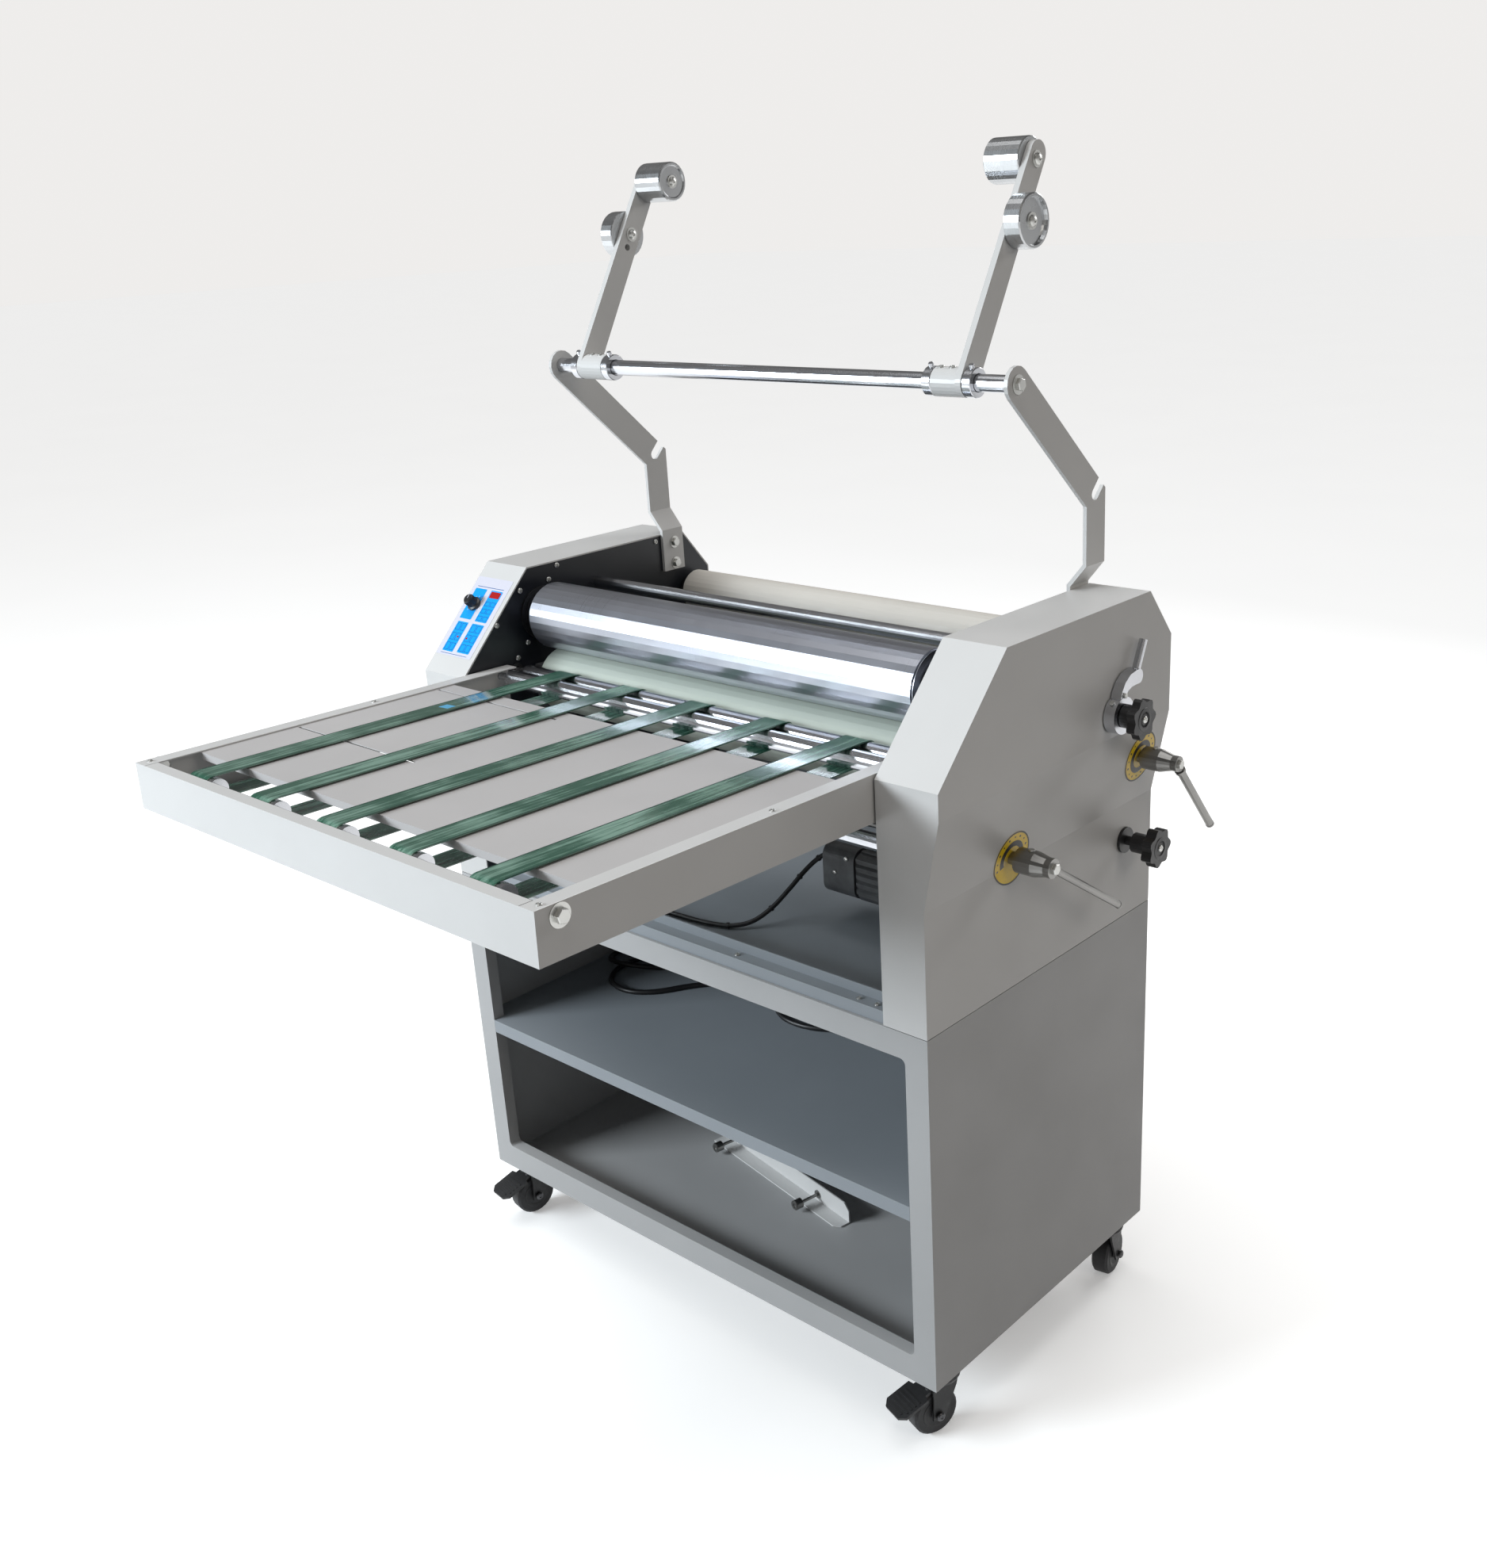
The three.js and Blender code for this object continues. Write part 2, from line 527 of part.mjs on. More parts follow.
add('feed_table_frame', onTable(tableFrame()), MATERIAL.whitePaint, table);
add('feed_table_plate', onTable(tablePlate()), MATERIAL.tablePaint, table);
add('front_belt_shaft', onTable(pulleyShaft(TABLE.half)), MATERIAL.chrome, table);
const secondRoller = beltRoller(SECOND_ROLLER, FRONT_SHAFT.r, TABLE.half + 1);
add('second_feed_roller', onTable(secondRoller), MATERIAL.chrome, table);
add('rear_belt_roller', onTable(beltRoller({ ...BELT_AXIS, r: BELT_ROLLER.r }, BELT_ROLLER.journal, PLATE.outer)),
  MATERIAL.chrome, table);
for (let i = 0; i < 5; i += 1) {
  add(`feed_belt_${i + 1}`, onTable(belt(beltX(i))), MATERIAL.belt, table);
}

// ---------------------------------------------------------------- drive
// Motor with finned body and gearbox, bolted by its gearbox face to the right side plate.
function finnedOutline(y, z, halfY, halfZ, fins, depth) {
  const points = [];
  const corners = [[1, -1], [1, 1], [-1, 1], [-1, -1]];
  corners.forEach(([cy, cz], side) => {
    const [ny, nz] = corners[(side + 1) % 4];
    for (let i = 0; i < fins; i += 1) {
      const at = (t) => [cy + (ny - cy) * t, cz + (nz - cz) * t];
      const inward = [-(cy + ny) / 2, -(cz + nz) / 2];
      [[0.14, 0], [0.5, 0], [0.5, 1], [0.86, 1]].forEach(([shift, dip]) => {
        const t = 0.08 + (0.84 * (i + shift)) / fins;
        const [py, pz] = at(t);
        points.push([y + halfY * py + depth * dip * inward[0], z + halfZ * pz + depth * dip * inward[1]]);
      });
    }
  });
  return points;
}

function gearMotor() {
  const { y, z, halfY, halfZ, coverStart, coverEnd, bodyEnd } = MOTOR;
  const block = (grow, corner, x0, x1) => prismX(
    roundedRect(y - halfY - grow, y + halfY + grow, z - halfZ - grow, z + halfZ + grow, corner), x0, x1);
  const body = prismX(finnedOutline(y, z, halfY - 1, halfZ - 1, 5, 3), coverEnd + 3, bodyEnd);
  const shaftSeat = rodX(y, z, 10, PLATE_FACE - 20, PLATE_FACE + 5, 20);
  const cover = block(0, 16, coverStart, coverEnd);
  const neck = block(-4, 14, coverEnd - 1, coverEnd + 4);
  const gearbox = block(0, 6, bodyEnd - 1, PLATE_FACE - 8);
  const flange = block(6, 8, PLATE_FACE - 9, PLATE_FACE);
  const pieces = [cover, neck, body, gearbox, flange];
  return cut(join(...pieces), shaftSeat);
}

function sprocket({ y, z }, r, teeth, bore) {
  const rim = [];
  for (let i = 0; i < 2 * teeth; i += 1) {
    const t = (Math.PI * i) / teeth;
    const radius = i % 2 ? r - SPROCKET.tooth : r;
    rim.push([y + radius * Math.cos(t), z + radius * Math.sin(t)]);
  }
  const disc = prismX(rim, SPROCKET.x0, SPROCKET.x1);
  return bore ? cut(disc, rodX(y, z, bore, SPROCKET.x0 - 5, SPROCKET.x1 + 5, 20)) : disc;
}

function driveChain() {
  const top = { u: MAIN.y, v: MAIN.z };
  const low = { u: MOTOR.y, v: MOTOR.z };
  const outer = loopOutline(top, SPROCKET.mainR + 7, low, SPROCKET.motorR + 7, 16);
  const inner = loopOutline(top, SPROCKET.mainR + 0.8, low, SPROCKET.motorR + 0.8, 16);
  const band = prismX(outer, SPROCKET.x0 - 1, SPROCKET.x1 + 1);
  return cut(band, prismX(inner, SPROCKET.x0 - 5, SPROCKET.x1 + 5));
}

add('gear_motor', gearMotor(), MATERIAL.castIron);
add('main_sprocket', sprocket(MAIN, SPROCKET.mainR, 20, MAIN.journal + GAP), MATERIAL.steel);
add('motor_sprocket', join(
  sprocket(MOTOR, SPROCKET.motorR, 16),
  rodX(MOTOR.y, MOTOR.z, 9, PLATE_FACE - 19, SPROCKET.x1 + 6),
), MATERIAL.steel);
add('drive_chain', driveChain(), MATERIAL.castIron);

// ---------------------------------------------------------------- film arms
// Flat steel bracket, set outwards by a double bend, with an open hook for a second bar.
function filmBracket() {
  const { front, rear, low, top, inner, outer, thick, bendLow, bendHigh } = BRACKET;
  const strip = [[inner, low], [inner + thick, low], [inner + thick, bendLow - 1], [outer + thick, bendHigh - 1],
    [outer + thick, top], [outer, top], [outer, bendHigh + 1], [inner, bendLow + 1]];
  const lean = THREE.MathUtils.degToRad(ARM_STRIP.lean);
  // Height of the sloping strip's upper or lower edge above a point y; side is +1 for the upper edge.
  const rise = (side) => (side * ARM_STRIP.half) / Math.cos(lean);
  const edgeAt = (y, side) => FILM_BAR.z + (y - FILM_BAR.y) * Math.tan(lean) - rise(side);
  const outline = shapeOf([[front, low], [rear, low], [rear, edgeAt(rear, 1)]]);
  outline.absarc(FILM_BAR.y, FILM_BAR.z, ARM_STRIP.half, lean - Math.PI / 2, lean + Math.PI / 2, false);
  outline.lineTo(front, edgeAt(front, -1));
  const [du, dv] = polar(HOOK.open, HOOK.length);
  const slot = loopOutline({ u: HOOK.y, v: HOOK.z }, HOOK.r, { u: HOOK.y + du, v: HOOK.z + dv }, HOOK.r, 8);
  const flat = common(prismY(strip, FILM_BAR.y - 90, rear + 20), prismX(outline, inner - 5, outer + thick + 5));
  return cut(flat, prismX(slot, outer - 5, outer + thick + 5));
}

const armDirection = THREE.MathUtils.degToRad(90 - ARM.lean);
const armPoint = (reach) => ({
  y: FILM_BAR.y + reach * Math.cos(armDirection),
  z: FILM_BAR.z + reach * Math.sin(armDirection),
});

// Sleeve on the cross bar with a flat arm; side is +1 where the sleeve lies towards +X of the arm.
function filmArm(x, side, sleeveLength) {
  const tip = armPoint(ARM.reach);
  const barAxis = { u: FILM_BAR.y, v: FILM_BAR.z };
  const outline = loopOutline(barAxis, ARM.sleeve, { u: tip.y, v: tip.z }, ARM.width / 2, 14);
  const plate = prismX(outline, ...span(x, x - side * ARM.thick));
  const sleeve = rodX(FILM_BAR.y, FILM_BAR.z, ARM.sleeve, ...span(x - side, x + side * sleeveLength), 24);
  const spare = armPoint(ARM.hole);
  const barHole = rodX(FILM_BAR.y, FILM_BAR.z, FILM_BAR.r + RUN, x - 60, x + 60, 24);
  const spareHole = rodX(spare.y, spare.z, 4.5, x - 60, x + 60, 12);
  return cut(join(plate, sleeve), barHole, spareHole);
}

// Core holder turned from bar, dished on its free face; side is the way it stands off the arm.
function filmHub({ reach, r, length }, x, side, dish) {
  const { y, z } = armPoint(reach);
  const start = x + side * GAP;
  const at = (distance) => start + side * distance;
  const profile = [[at(0), 0], [at(0), r - 1], [at(1), r], [at(length - 1.5), r], [at(length), r - 1.5],
    [at(length), r - 4], [at(length - dish), r - 5.5], [at(length - dish), 0]];
  return turnedX(profile, y, z, 28);
}

add('left_film_bracket', mirrorX(filmBracket()), MATERIAL.whitePaint);
add('right_film_bracket', filmBracket(), MATERIAL.whitePaint);
const barEnd = BRACKET.outer - GAP;
add('film_cross_bar', rodX(FILM_BAR.y, FILM_BAR.z, FILM_BAR.r, -barEnd, barEnd), MATERIAL.chrome);
add('left_film_arm', filmArm(LEFT_ARM_X, 1, 40), MATERIAL.whitePaint);
add('right_film_arm', filmArm(RIGHT_ARM_X, -1, 35), MATERIAL.whitePaint);
add('left_upper_hub', filmHub(UPPER_HUB, LEFT_ARM_X, 1, 1.5), MATERIAL.chrome);
add('left_lower_hub', filmHub(LOWER_HUB, LEFT_ARM_X - ARM.thick, -1, 4), MATERIAL.chrome);
add('right_upper_hub', filmHub(UPPER_HUB, RIGHT_ARM_X, -1, 1.5), MATERIAL.chrome);
add('right_lower_hub', filmHub(LOWER_HUB, RIGHT_ARM_X + ARM.thick, 1, 4), MATERIAL.chrome);

// ---------------------------------------------------------------- speed knob on the sloped face
function speedKnob() {
  const { x, along, r, height, lift } = SPEED_KNOB;
  const slope = Math.atan2(NOSE.slopeZ - NOSE.z, NOSE.slopeY);
  const skirt = r + 2.3;
  const profile = [[0, 0], [0, skirt], [3, skirt], [4.5, r], [height - 1, r - 1], [height, r - 2], [height, 0]];
  const knob = lathe(profile, 28).rotateX(Math.PI / 2).translate(0, 0, lift).rotateX(slope);
  return knob.translate(x, along * Math.cos(slope), NOSE.z + along * Math.sin(slope));
}

add('speed_knob', speedKnob(), MATERIAL.blackPlastic);

// ---------------------------------------------------------------- casters
// Drawn with the swivel axis at the origin and the wheel trailing along +X, then turned and placed.
function casterFork() {
  const { r, trail, leg, legThick } = CASTER;
  const housing = turnedZ([[78, 0], [78, 24], [84, 27], [91.5, 25], [91.5, 7], [94.7, 7], [94.7, 0]], 0, 0, 20);
  const legOutline = [[-16, 79], [-14, 70], [trail - 9, 26], [trail + 9, 26], [trail + 8, 55], [21, 79]];
  const legAt = (y) => prismY(legOutline, y, y + legThick);
  const axle = new THREE.CylinderGeometry(4, 4, 2 * leg + 2 * legThick + 6, 12).translate(trail, 0, r);
  return join(housing, legAt(leg), legAt(-leg - legThick), axle);
}

function casterWheel() {
  const { r, width, trail } = CASTER;
  const w = width / 2;
  const profile = [[-w, 4.4], [-w, r - 3], [-w + 3, r], [w - 3, r], [w, r - 3], [w, 4.4], [-w, 4.4]];
  return closed(lathe(profile, 28).translate(trail, 0, r));
}

function brakePedal() {
  const { hinge, z, reach, drop } = PEDAL;
  const narrow = 13.5;
  const wide = 22;
  const long = reach - hinge;
  const outline = [[0, -narrow], [23, -narrow], [25, -wide], [long - 8, -wide], [long, -wide + 9], [long, wide - 9],
    [long - 8, wide], [25, wide], [23, narrow], [0, narrow]];
  const plate = prismZ(outline, -2, 2).rotateY(THREE.MathUtils.degToRad(drop)).translate(hinge, 0, z);
  const barrel = new THREE.CylinderGeometry(3.6, 3.6, 2 * narrow, 12).translate(hinge, 0, z);
  return join(plate, barrel);
}

const casters = [
  { name: 'front_left', x: -CASTER.x, y: CASTER.front, heading: -98, brake: true },
  { name: 'front_right', x: CASTER.x, y: CASTER.front, heading: -108, brake: true },
  { name: 'rear_left', x: -CASTER.x, y: CASTER.rear, heading: 80, brake: false },
  { name: 'rear_right', x: CASTER.x, y: CASTER.rear, heading: 100, brake: false },
];
for (const { name, x, y, heading, brake } of casters) {
  const swivel = new THREE.Group();
  swivel.position.set(x, y, 0);
  swivel.rotation.z = THREE.MathUtils.degToRad(heading);
  machine.add(swivel);
  add(`${name}_caster_fork`, casterFork(), MATERIAL.blackPlastic, swivel);
  add(`${name}_caster_wheel`, casterWheel(), MATERIAL.tyre, swivel);
  if (brake) add(`${name}_brake_pedal`, brakePedal(), MATERIAL.blackPlastic, swivel);
}

// ---------------------------------------------------------------- loose side guide on the cabinet floor
function sideGuide() {
  const { long, wide, tall, sheet, turn, x, y, z } = GUIDE;
  const base = prismZ([[0, 0], [long - 10, 0], [long, 8], [long, wide], [0, wide]], 0, sheet);
  const upright = prismY([[0, 0], [long, 0], [long, tall - 10], [long - 10, tall], [0, tall]], wide - sheet, wide);
  return join(base, upright).rotateZ(THREE.MathUtils.degToRad(turn)).translate(x, y, z);
}

add('side_guide', sideGuide(), MATERIAL.whitePaint);

// ---------------------------------------------------------------- cables
const MOTOR_CABLE = [
  [127.3, 195, 672], [119, 195, 671.7], [110, 191.5, 668.5], [101, 183, 660], [93, 169, 647],
  [85, 150, 629], [75, 124, 608], [61, 101, 594], [42, 85, 589], [12, 74, 588], [-50, 67, 588],
  [-120, 63, 588], [-200, 60, 588], [-262, 58, 589], [-308, 58, 595], [-340, 60, 603], [-368, 60, 606],
];

// From the gland down to the shelf, a small loop that crosses over itself once, a wide loop, back to the plug.
const ON_SHELF = 353.4;
const MAINS_LEAD = [
  [-300, 440, 544.5], [-300, 440, 515], [-300, 439, 470], [-302, 437, 434], [-309, 432, 402],
  [-324, 422, 376], [-344, 406, 360], [-366, 380, 354], [-388, 343, ON_SHELF], [-406, 301, ON_SHELF],
  [-409, 263, 354], [-402, 241, 356], [-386, 228.5, 359.6], [-366, 225.5, 362.2], [-345, 231.5, 361.6],
  [-326, 245, 358.4], [-309, 264, 354.6], [-292, 289, ON_SHELF], [-277, 316, ON_SHELF],
  [-257, 341, ON_SHELF], [-231, 353, ON_SHELF], [-204, 347, ON_SHELF], [-188, 325, ON_SHELF],
  [-189, 298, ON_SHELF], [-204, 276, ON_SHELF], [-220, 257, ON_SHELF], [-235, 237, ON_SHELF],
  [-249, 214, ON_SHELF], [-266, 194, ON_SHELF], [-290, 180, ON_SHELF], [-317, 178, ON_SHELF],
  [-343, 188, ON_SHELF], [-360, 209, ON_SHELF], [-367, 234, ON_SHELF], [-364, 268, ON_SHELF],
  [-353, 306, ON_SHELF], [-332, 344, ON_SHELF], [-300, 376, ON_SHELF], [-258, 394, ON_SHELF],
  [-212, 396, ON_SHELF], [-170, 382, ON_SHELF], [-137, 353, ON_SHELF], [-109, 316, ON_SHELF],
  [-82, 282, ON_SHELF], [-50, 259, ON_SHELF], [-20, 253, ON_SHELF], [12, 258, ON_SHELF],
  [42, 275, ON_SHELF], [64, 304, ON_SHELF], [71, 340, ON_SHELF], [62, 375, ON_SHELF],
  [38, 403, ON_SHELF], [4, 418, ON_SHELF], [-32, 420, ON_SHELF], [-66, 416, ON_SHELF],
];

function cordGland() {
  const { tip, bodyR, flangeR } = GLAND;
  const seat = PAN.low + PAN.sheet + 0.2;
  const top = seat + 4.5;
  const profile = [[tip, 0], [tip, 5.2], [568, 7.2], [570, bodyR], [seat, bodyR], [seat, flangeR], [top, flangeR],
    [top, 0]];
  return turnedZ(profile, GLAND.x, GLAND.y, 20);
}

// Moulded plug lying on the shelf, drawn along +X from the cord and then turned.
function mainsPlug() {
  const relief = closed(lathe([[0, 0], [0, 5.4], [24, 7.5], [26, 7.5], [26, 0]], 16).rotateZ(-Math.PI / 2));
  const grip = prismZ([[25, -9], [34, -12], [62, -12], [62, 12], [34, 12], [25, 9]], -7.5, 7.5);
  const face = prismX(roundedRect(-17, 17, -9.5, 13, 5), 61, 67);
  const pins = [-9.5, 9.5].map((y) => rodX(y, 0, 2.3, 66, 85, 10));
  return join(relief, grip, face, ...pins);
}

add('motor_cable', sweep(MOTOR_CABLE, MOTOR_CABLE_R, 44, 8), MATERIAL.cord);
add('cord_gland', cordGland(), MATERIAL.blackPlastic);
add('mains_lead', sweep(MAINS_LEAD, LEAD_R, 100, 8), MATERIAL.cord);
const plug = mainsPlug().rotateZ(THREE.MathUtils.degToRad(187)).translate(-66.4, 416, 358.8);
add('mains_plug', plug, MATERIAL.blackPlastic);

// ---------------------------------------------------------------- origin on the floor under the middle
machine.updateMatrixWorld(true);
const extent = new THREE.Box3().setFromObject(machine, true);
const middle = extent.getCenter(new THREE.Vector3());
machine.position.set(-middle.x, -middle.y, -extent.min.z);

export default machine;
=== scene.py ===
"""Looks of the roll laminator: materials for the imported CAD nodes, and the small parts fixed to them."""
import math

import bmesh
import bpy
from mathutils import Matrix, Vector


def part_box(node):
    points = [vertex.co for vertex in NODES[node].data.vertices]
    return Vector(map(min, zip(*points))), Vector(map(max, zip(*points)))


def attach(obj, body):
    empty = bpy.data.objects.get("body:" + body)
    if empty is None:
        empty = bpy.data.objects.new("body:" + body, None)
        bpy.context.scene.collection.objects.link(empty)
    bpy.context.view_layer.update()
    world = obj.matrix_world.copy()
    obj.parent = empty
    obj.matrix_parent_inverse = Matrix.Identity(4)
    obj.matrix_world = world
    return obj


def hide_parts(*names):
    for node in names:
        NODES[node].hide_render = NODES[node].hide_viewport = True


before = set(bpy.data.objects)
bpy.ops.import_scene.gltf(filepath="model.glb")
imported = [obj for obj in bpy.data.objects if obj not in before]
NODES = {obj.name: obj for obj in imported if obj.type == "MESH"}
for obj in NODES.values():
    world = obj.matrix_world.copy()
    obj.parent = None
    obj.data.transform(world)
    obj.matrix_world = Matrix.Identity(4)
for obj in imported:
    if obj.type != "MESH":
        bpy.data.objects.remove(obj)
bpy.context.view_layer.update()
MM = 0.001
FRAME_BODY = "machine_frame"
X_AXIS = Vector((1, 0, 0))
Z_AXIS = Vector((0, 0, 1))

# Machine millimetres: X from the centre plane, Y from the cabinet's front, Z from the floor.
CASING_HALF = 450
CASING_LOW, CASING_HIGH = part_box("right_casing")
SHIFT = Vector((CASING_HIGH.x - CASING_HALF * MM, CASING_LOW.y, 0))


def at(x, y, z):
    """A place in machine millimetres as a point of the frame, in metres."""
    return Vector((x, y, z)) * MM + SHIFT


# Middle lines across the machine, as (Y, Z).
MAIN_ROLLER, PULL_ROLLER, BELT_ROLLER = (147, 944), (440, 919), (90, 872)
FRONT_LEVER, REAR_LEVER = (162, 750.5), (429, 800)

# ---------------------------------------------------------------- camera
# The place is in machine millimetres; the focal length and the offset are in pixels of the frame.
CAMERA_AT = (1428.1, -1262.1, 1471.4)
YAW, PITCH, ROLL = math.radians(41.94), math.radians(20.06), math.radians(-2.72)
FRAME_LONG = 1978
FOCAL = 2039.8
SENSOR = 36
PRINCIPAL_OFFSET = (105.6, 11.2)


def make_camera():
    data = bpy.data.cameras.new("camera")
    data.sensor_width = SENSOR
    data.lens = FOCAL * SENSOR / FRAME_LONG
    data.shift_x = -PRINCIPAL_OFFSET[0] / FRAME_LONG
    data.shift_y = PRINCIPAL_OFFSET[1] / FRAME_LONG
    data.clip_start = 0.05
    data.clip_end = 100
    level = math.cos(PITCH)
    forward = Vector((-math.sin(YAW) * level, math.cos(YAW) * level, -math.sin(PITCH)))
    right = Vector((math.cos(YAW), math.sin(YAW), 0))
    up = right.cross(forward)
    rolled_right = math.cos(ROLL) * right + math.sin(ROLL) * up
    rolled_up = -math.sin(ROLL) * right + math.cos(ROLL) * up
    turn = Matrix((rolled_right, rolled_up, -forward)).transposed()
    camera = bpy.data.objects.new("camera", data)
    camera.matrix_world = Matrix.Translation(at(*CAMERA_AT)) @ turn.to_4x4()
    bpy.context.scene.collection.objects.link(camera)
    bpy.context.scene.camera = camera


make_camera()


# ---------------------------------------------------------------- node materials
class Maker:
    """Adds nodes to one material; every texture is read in the object's own coordinates."""

    def __init__(self, name):
        self.material = bpy.data.materials.new(name)
        self.material.use_nodes = True
        self.tree = self.material.node_tree
        self.bsdf = self.tree.nodes["Principled BSDF"]
        self.coords = self.tree.nodes.new("ShaderNodeTexCoord").outputs["Object"]

    def node(self, kind, inputs=(), **settings):
        made = self.tree.nodes.new(kind)
        for key, value in settings.items():
            setattr(made, key, value)
        for key, value in dict(inputs).items():
            self.put(made.inputs[key], value)
        return made

    def put(self, socket, value):
        if isinstance(value, bpy.types.NodeSocket):
            self.tree.links.new(value, socket)
        else:
            socket.default_value = value

    def stretched(self, scale):
        return self.node("ShaderNodeMapping", {"Vector": self.coords, "Scale": scale}).outputs[0]

    def noise(self, scale, detail=3.0, rough=0.55, vector=None):
        inputs = {"Vector": vector or self.coords, "Scale": scale, "Detail": detail, "Roughness": rough}
        return self.node("ShaderNodeTexNoise", inputs).outputs[0]

    def cells(self, scale):
        return self.node("ShaderNodeTexVoronoi", {"Vector": self.coords, "Scale": scale}).outputs[0]

    def remap(self, value, low, high, to_low, to_high):
        inputs = {"Value": value, "From Min": low, "From Max": high, "To Min": to_low, "To Max": to_high}
        return self.node("ShaderNodeMapRange", inputs).outputs[0]

    def mix(self, factor, a, b):
        node = self.node("ShaderNodeMix", data_type="RGBA")
        self.put(node.inputs[0], factor)
        self.put(node.inputs[6], a)
        self.put(node.inputs[7], b)
        return node.outputs[2]

    def combine(self, operation, a, b):
        node = self.node("ShaderNodeMath", operation=operation)
        self.put(node.inputs[0], a)
        self.put(node.inputs[1], b)
        return node.outputs[0]

    def add(self, a, b):
        return self.combine("ADD", a, b)

    def times(self, a, b):
        return self.combine("MULTIPLY", a, b)

    def bump(self, height, distance):
        inputs = {"Height": height, "Distance": distance}
        self.put(self.bsdf.inputs["Normal"], self.node("ShaderNodeBump", inputs).outputs[0])

    def set(self, **values):
        for key, value in values.items():
            self.put(self.bsdf.inputs[key.replace("_", " ")], value)


def rgba(colour, gain=1.0):
    return (colour[0] * gain, colour[1] * gain, colour[2] * gain, 1.0)


def powder_coat(name, colour, rough, grain=520, depth=0.00006, spread=0.035):
    """Painted sheet metal: fine orange peel, faint clouding and darker specks."""
    m = Maker(name)
    clouds = m.remap(m.noise(3.2, 4), 0.3, 0.7, 0, 1)
    speck = m.remap(m.noise(1400, 1), 0.55, 0.8, 0, 1)
    tone = m.mix(clouds, rgba(colour, 1 - spread), rgba(colour, 1 + spread))
    m.set(Base_Color=m.mix(m.times(speck, 0.12), tone, rgba(colour, 0.82)))
    m.set(Roughness=m.remap(m.noise(9, 5), 0.3, 0.7, rough - 0.05, rough + 0.07))
    peel = m.add(m.noise(grain, 2), m.times(m.noise(grain * 3.1, 1), 0.35))
    m.bump(peel, depth)
    return m.material


def turned_metal(name, colour, rough, line_scale=2600, marks=0.06):
    """Bright turned or ground metal: fine rings across X and soft handling marks."""
    m = Maker(name)
    rings = m.noise(1.0, 2, 0.6, m.stretched((line_scale, 14, 14)))
    smears = m.remap(m.noise(16, 5), 0.42, 0.75, 0, 1)
    m.set(Base_Color=m.mix(smears, rgba(colour), rgba(colour, 0.9)), Metallic=1.0)
    ring_rough = m.remap(rings, 0.2, 0.8, rough - 0.03, rough + 0.03)
    m.set(Roughness=m.add(ring_rough, m.times(smears, marks)))
    m.bump(rings, 0.000012)
    return m.material


def rubber_skin(name, colour, rough, grain=900):
    """Rubber: soft clouding, darker scuffs drawn out along X and a fine grain."""
    m = Maker(name)
    clouds = m.remap(m.noise(5, 5), 0.3, 0.7, 0, 1)
    scuffs = m.remap(m.noise(1.0, 4, 0.7, m.stretched((8, 60, 60))), 0.55, 0.75, 0, 1)
    tone = m.mix(clouds, rgba(colour, 0.95), rgba(colour, 1.05))
    m.set(Base_Color=m.mix(m.times(scuffs, 0.25), tone, rgba(colour, 0.8)))
    m.set(Roughness=m.remap(m.noise(40, 4), 0.3, 0.7, rough - 0.06, rough + 0.08))
    m.bump(m.noise(grain, 2), 0.00002)
    return m.material


def moulded(name, colour, rough):
    """Moulded plastic with a fine spark texture and paler rubbed patches."""
    m = Maker(name)
    rubbed = m.remap(m.noise(60, 4), 0.5, 0.8, 0, 1)
    m.set(Base_Color=m.mix(rubbed, rgba(colour), rgba(colour, 1.9)))
    m.set(Roughness=m.remap(rubbed, 0, 1, rough + 0.05, rough - 0.08))
    m.bump(m.add(m.cells(1500), m.noise(300, 2)), 0.00004)
    return m.material


def casting(name, colour, rough):
    """Cast metal: a dull pitted skin with paler patches."""
    m = Maker(name)
    pits = m.noise(700, 4, 0.7)
    patches = m.remap(m.noise(30, 4), 0.35, 0.7, 0, 1)
    m.set(Base_Color=m.mix(patches, rgba(colour, 0.8), rgba(colour, 1.35)), Metallic=0.3)
    m.set(Roughness=m.remap(pits, 0.3, 0.7, rough - 0.08, rough + 0.1))
    m.bump(pits, 0.00018)
    return m.material


def belt_skin():
    """Green smooth belting with a lengthwise grain and pale streaks of painted reflection."""
    m = Maker("belt")
    green, pale = (0.016, 0.092, 0.056), (0.24, 0.40, 0.32)
    streaks = m.noise(1.0, 4, 0.6, m.stretched((210, 7, 210)))
    patches = m.noise(11, 4)
    # Pale streaks over the green: painted reflections.
    painted_reflection_streaks = m.remap(m.times(streaks, patches), 0.19, 0.34, 0, 0.85)
    m.set(Base_Color=m.mix(painted_reflection_streaks, rgba(green), rgba(pale)))
    m.set(Roughness=m.remap(streaks, 0.3, 0.7, 0.1, 0.24), Coat_Weight=0.8, Coat_Roughness=0.06)
    m.bump(m.noise(1.0, 3, 0.5, m.stretched((420, 60, 420))), 0.00003)
    return m.material


def plain(name, colour, rough, vary=0.12, glow=0.0):
    """Printed film, ink and tape: one colour that varies a little, with a fine bump."""
    m = Maker(name)
    m.set(Base_Color=m.mix(m.noise(240, 4), rgba(colour, 1 - vary), rgba(colour, 1 + vary)))
    m.set(Roughness=m.remap(m.noise(500, 3), 0.3, 0.7, rough - 0.04, rough + 0.05))
    m.bump(m.noise(1600, 2), 0.00001)
    if glow:
        m.set(Emission_Color=rgba(colour), Emission_Strength=glow)
    return m.material


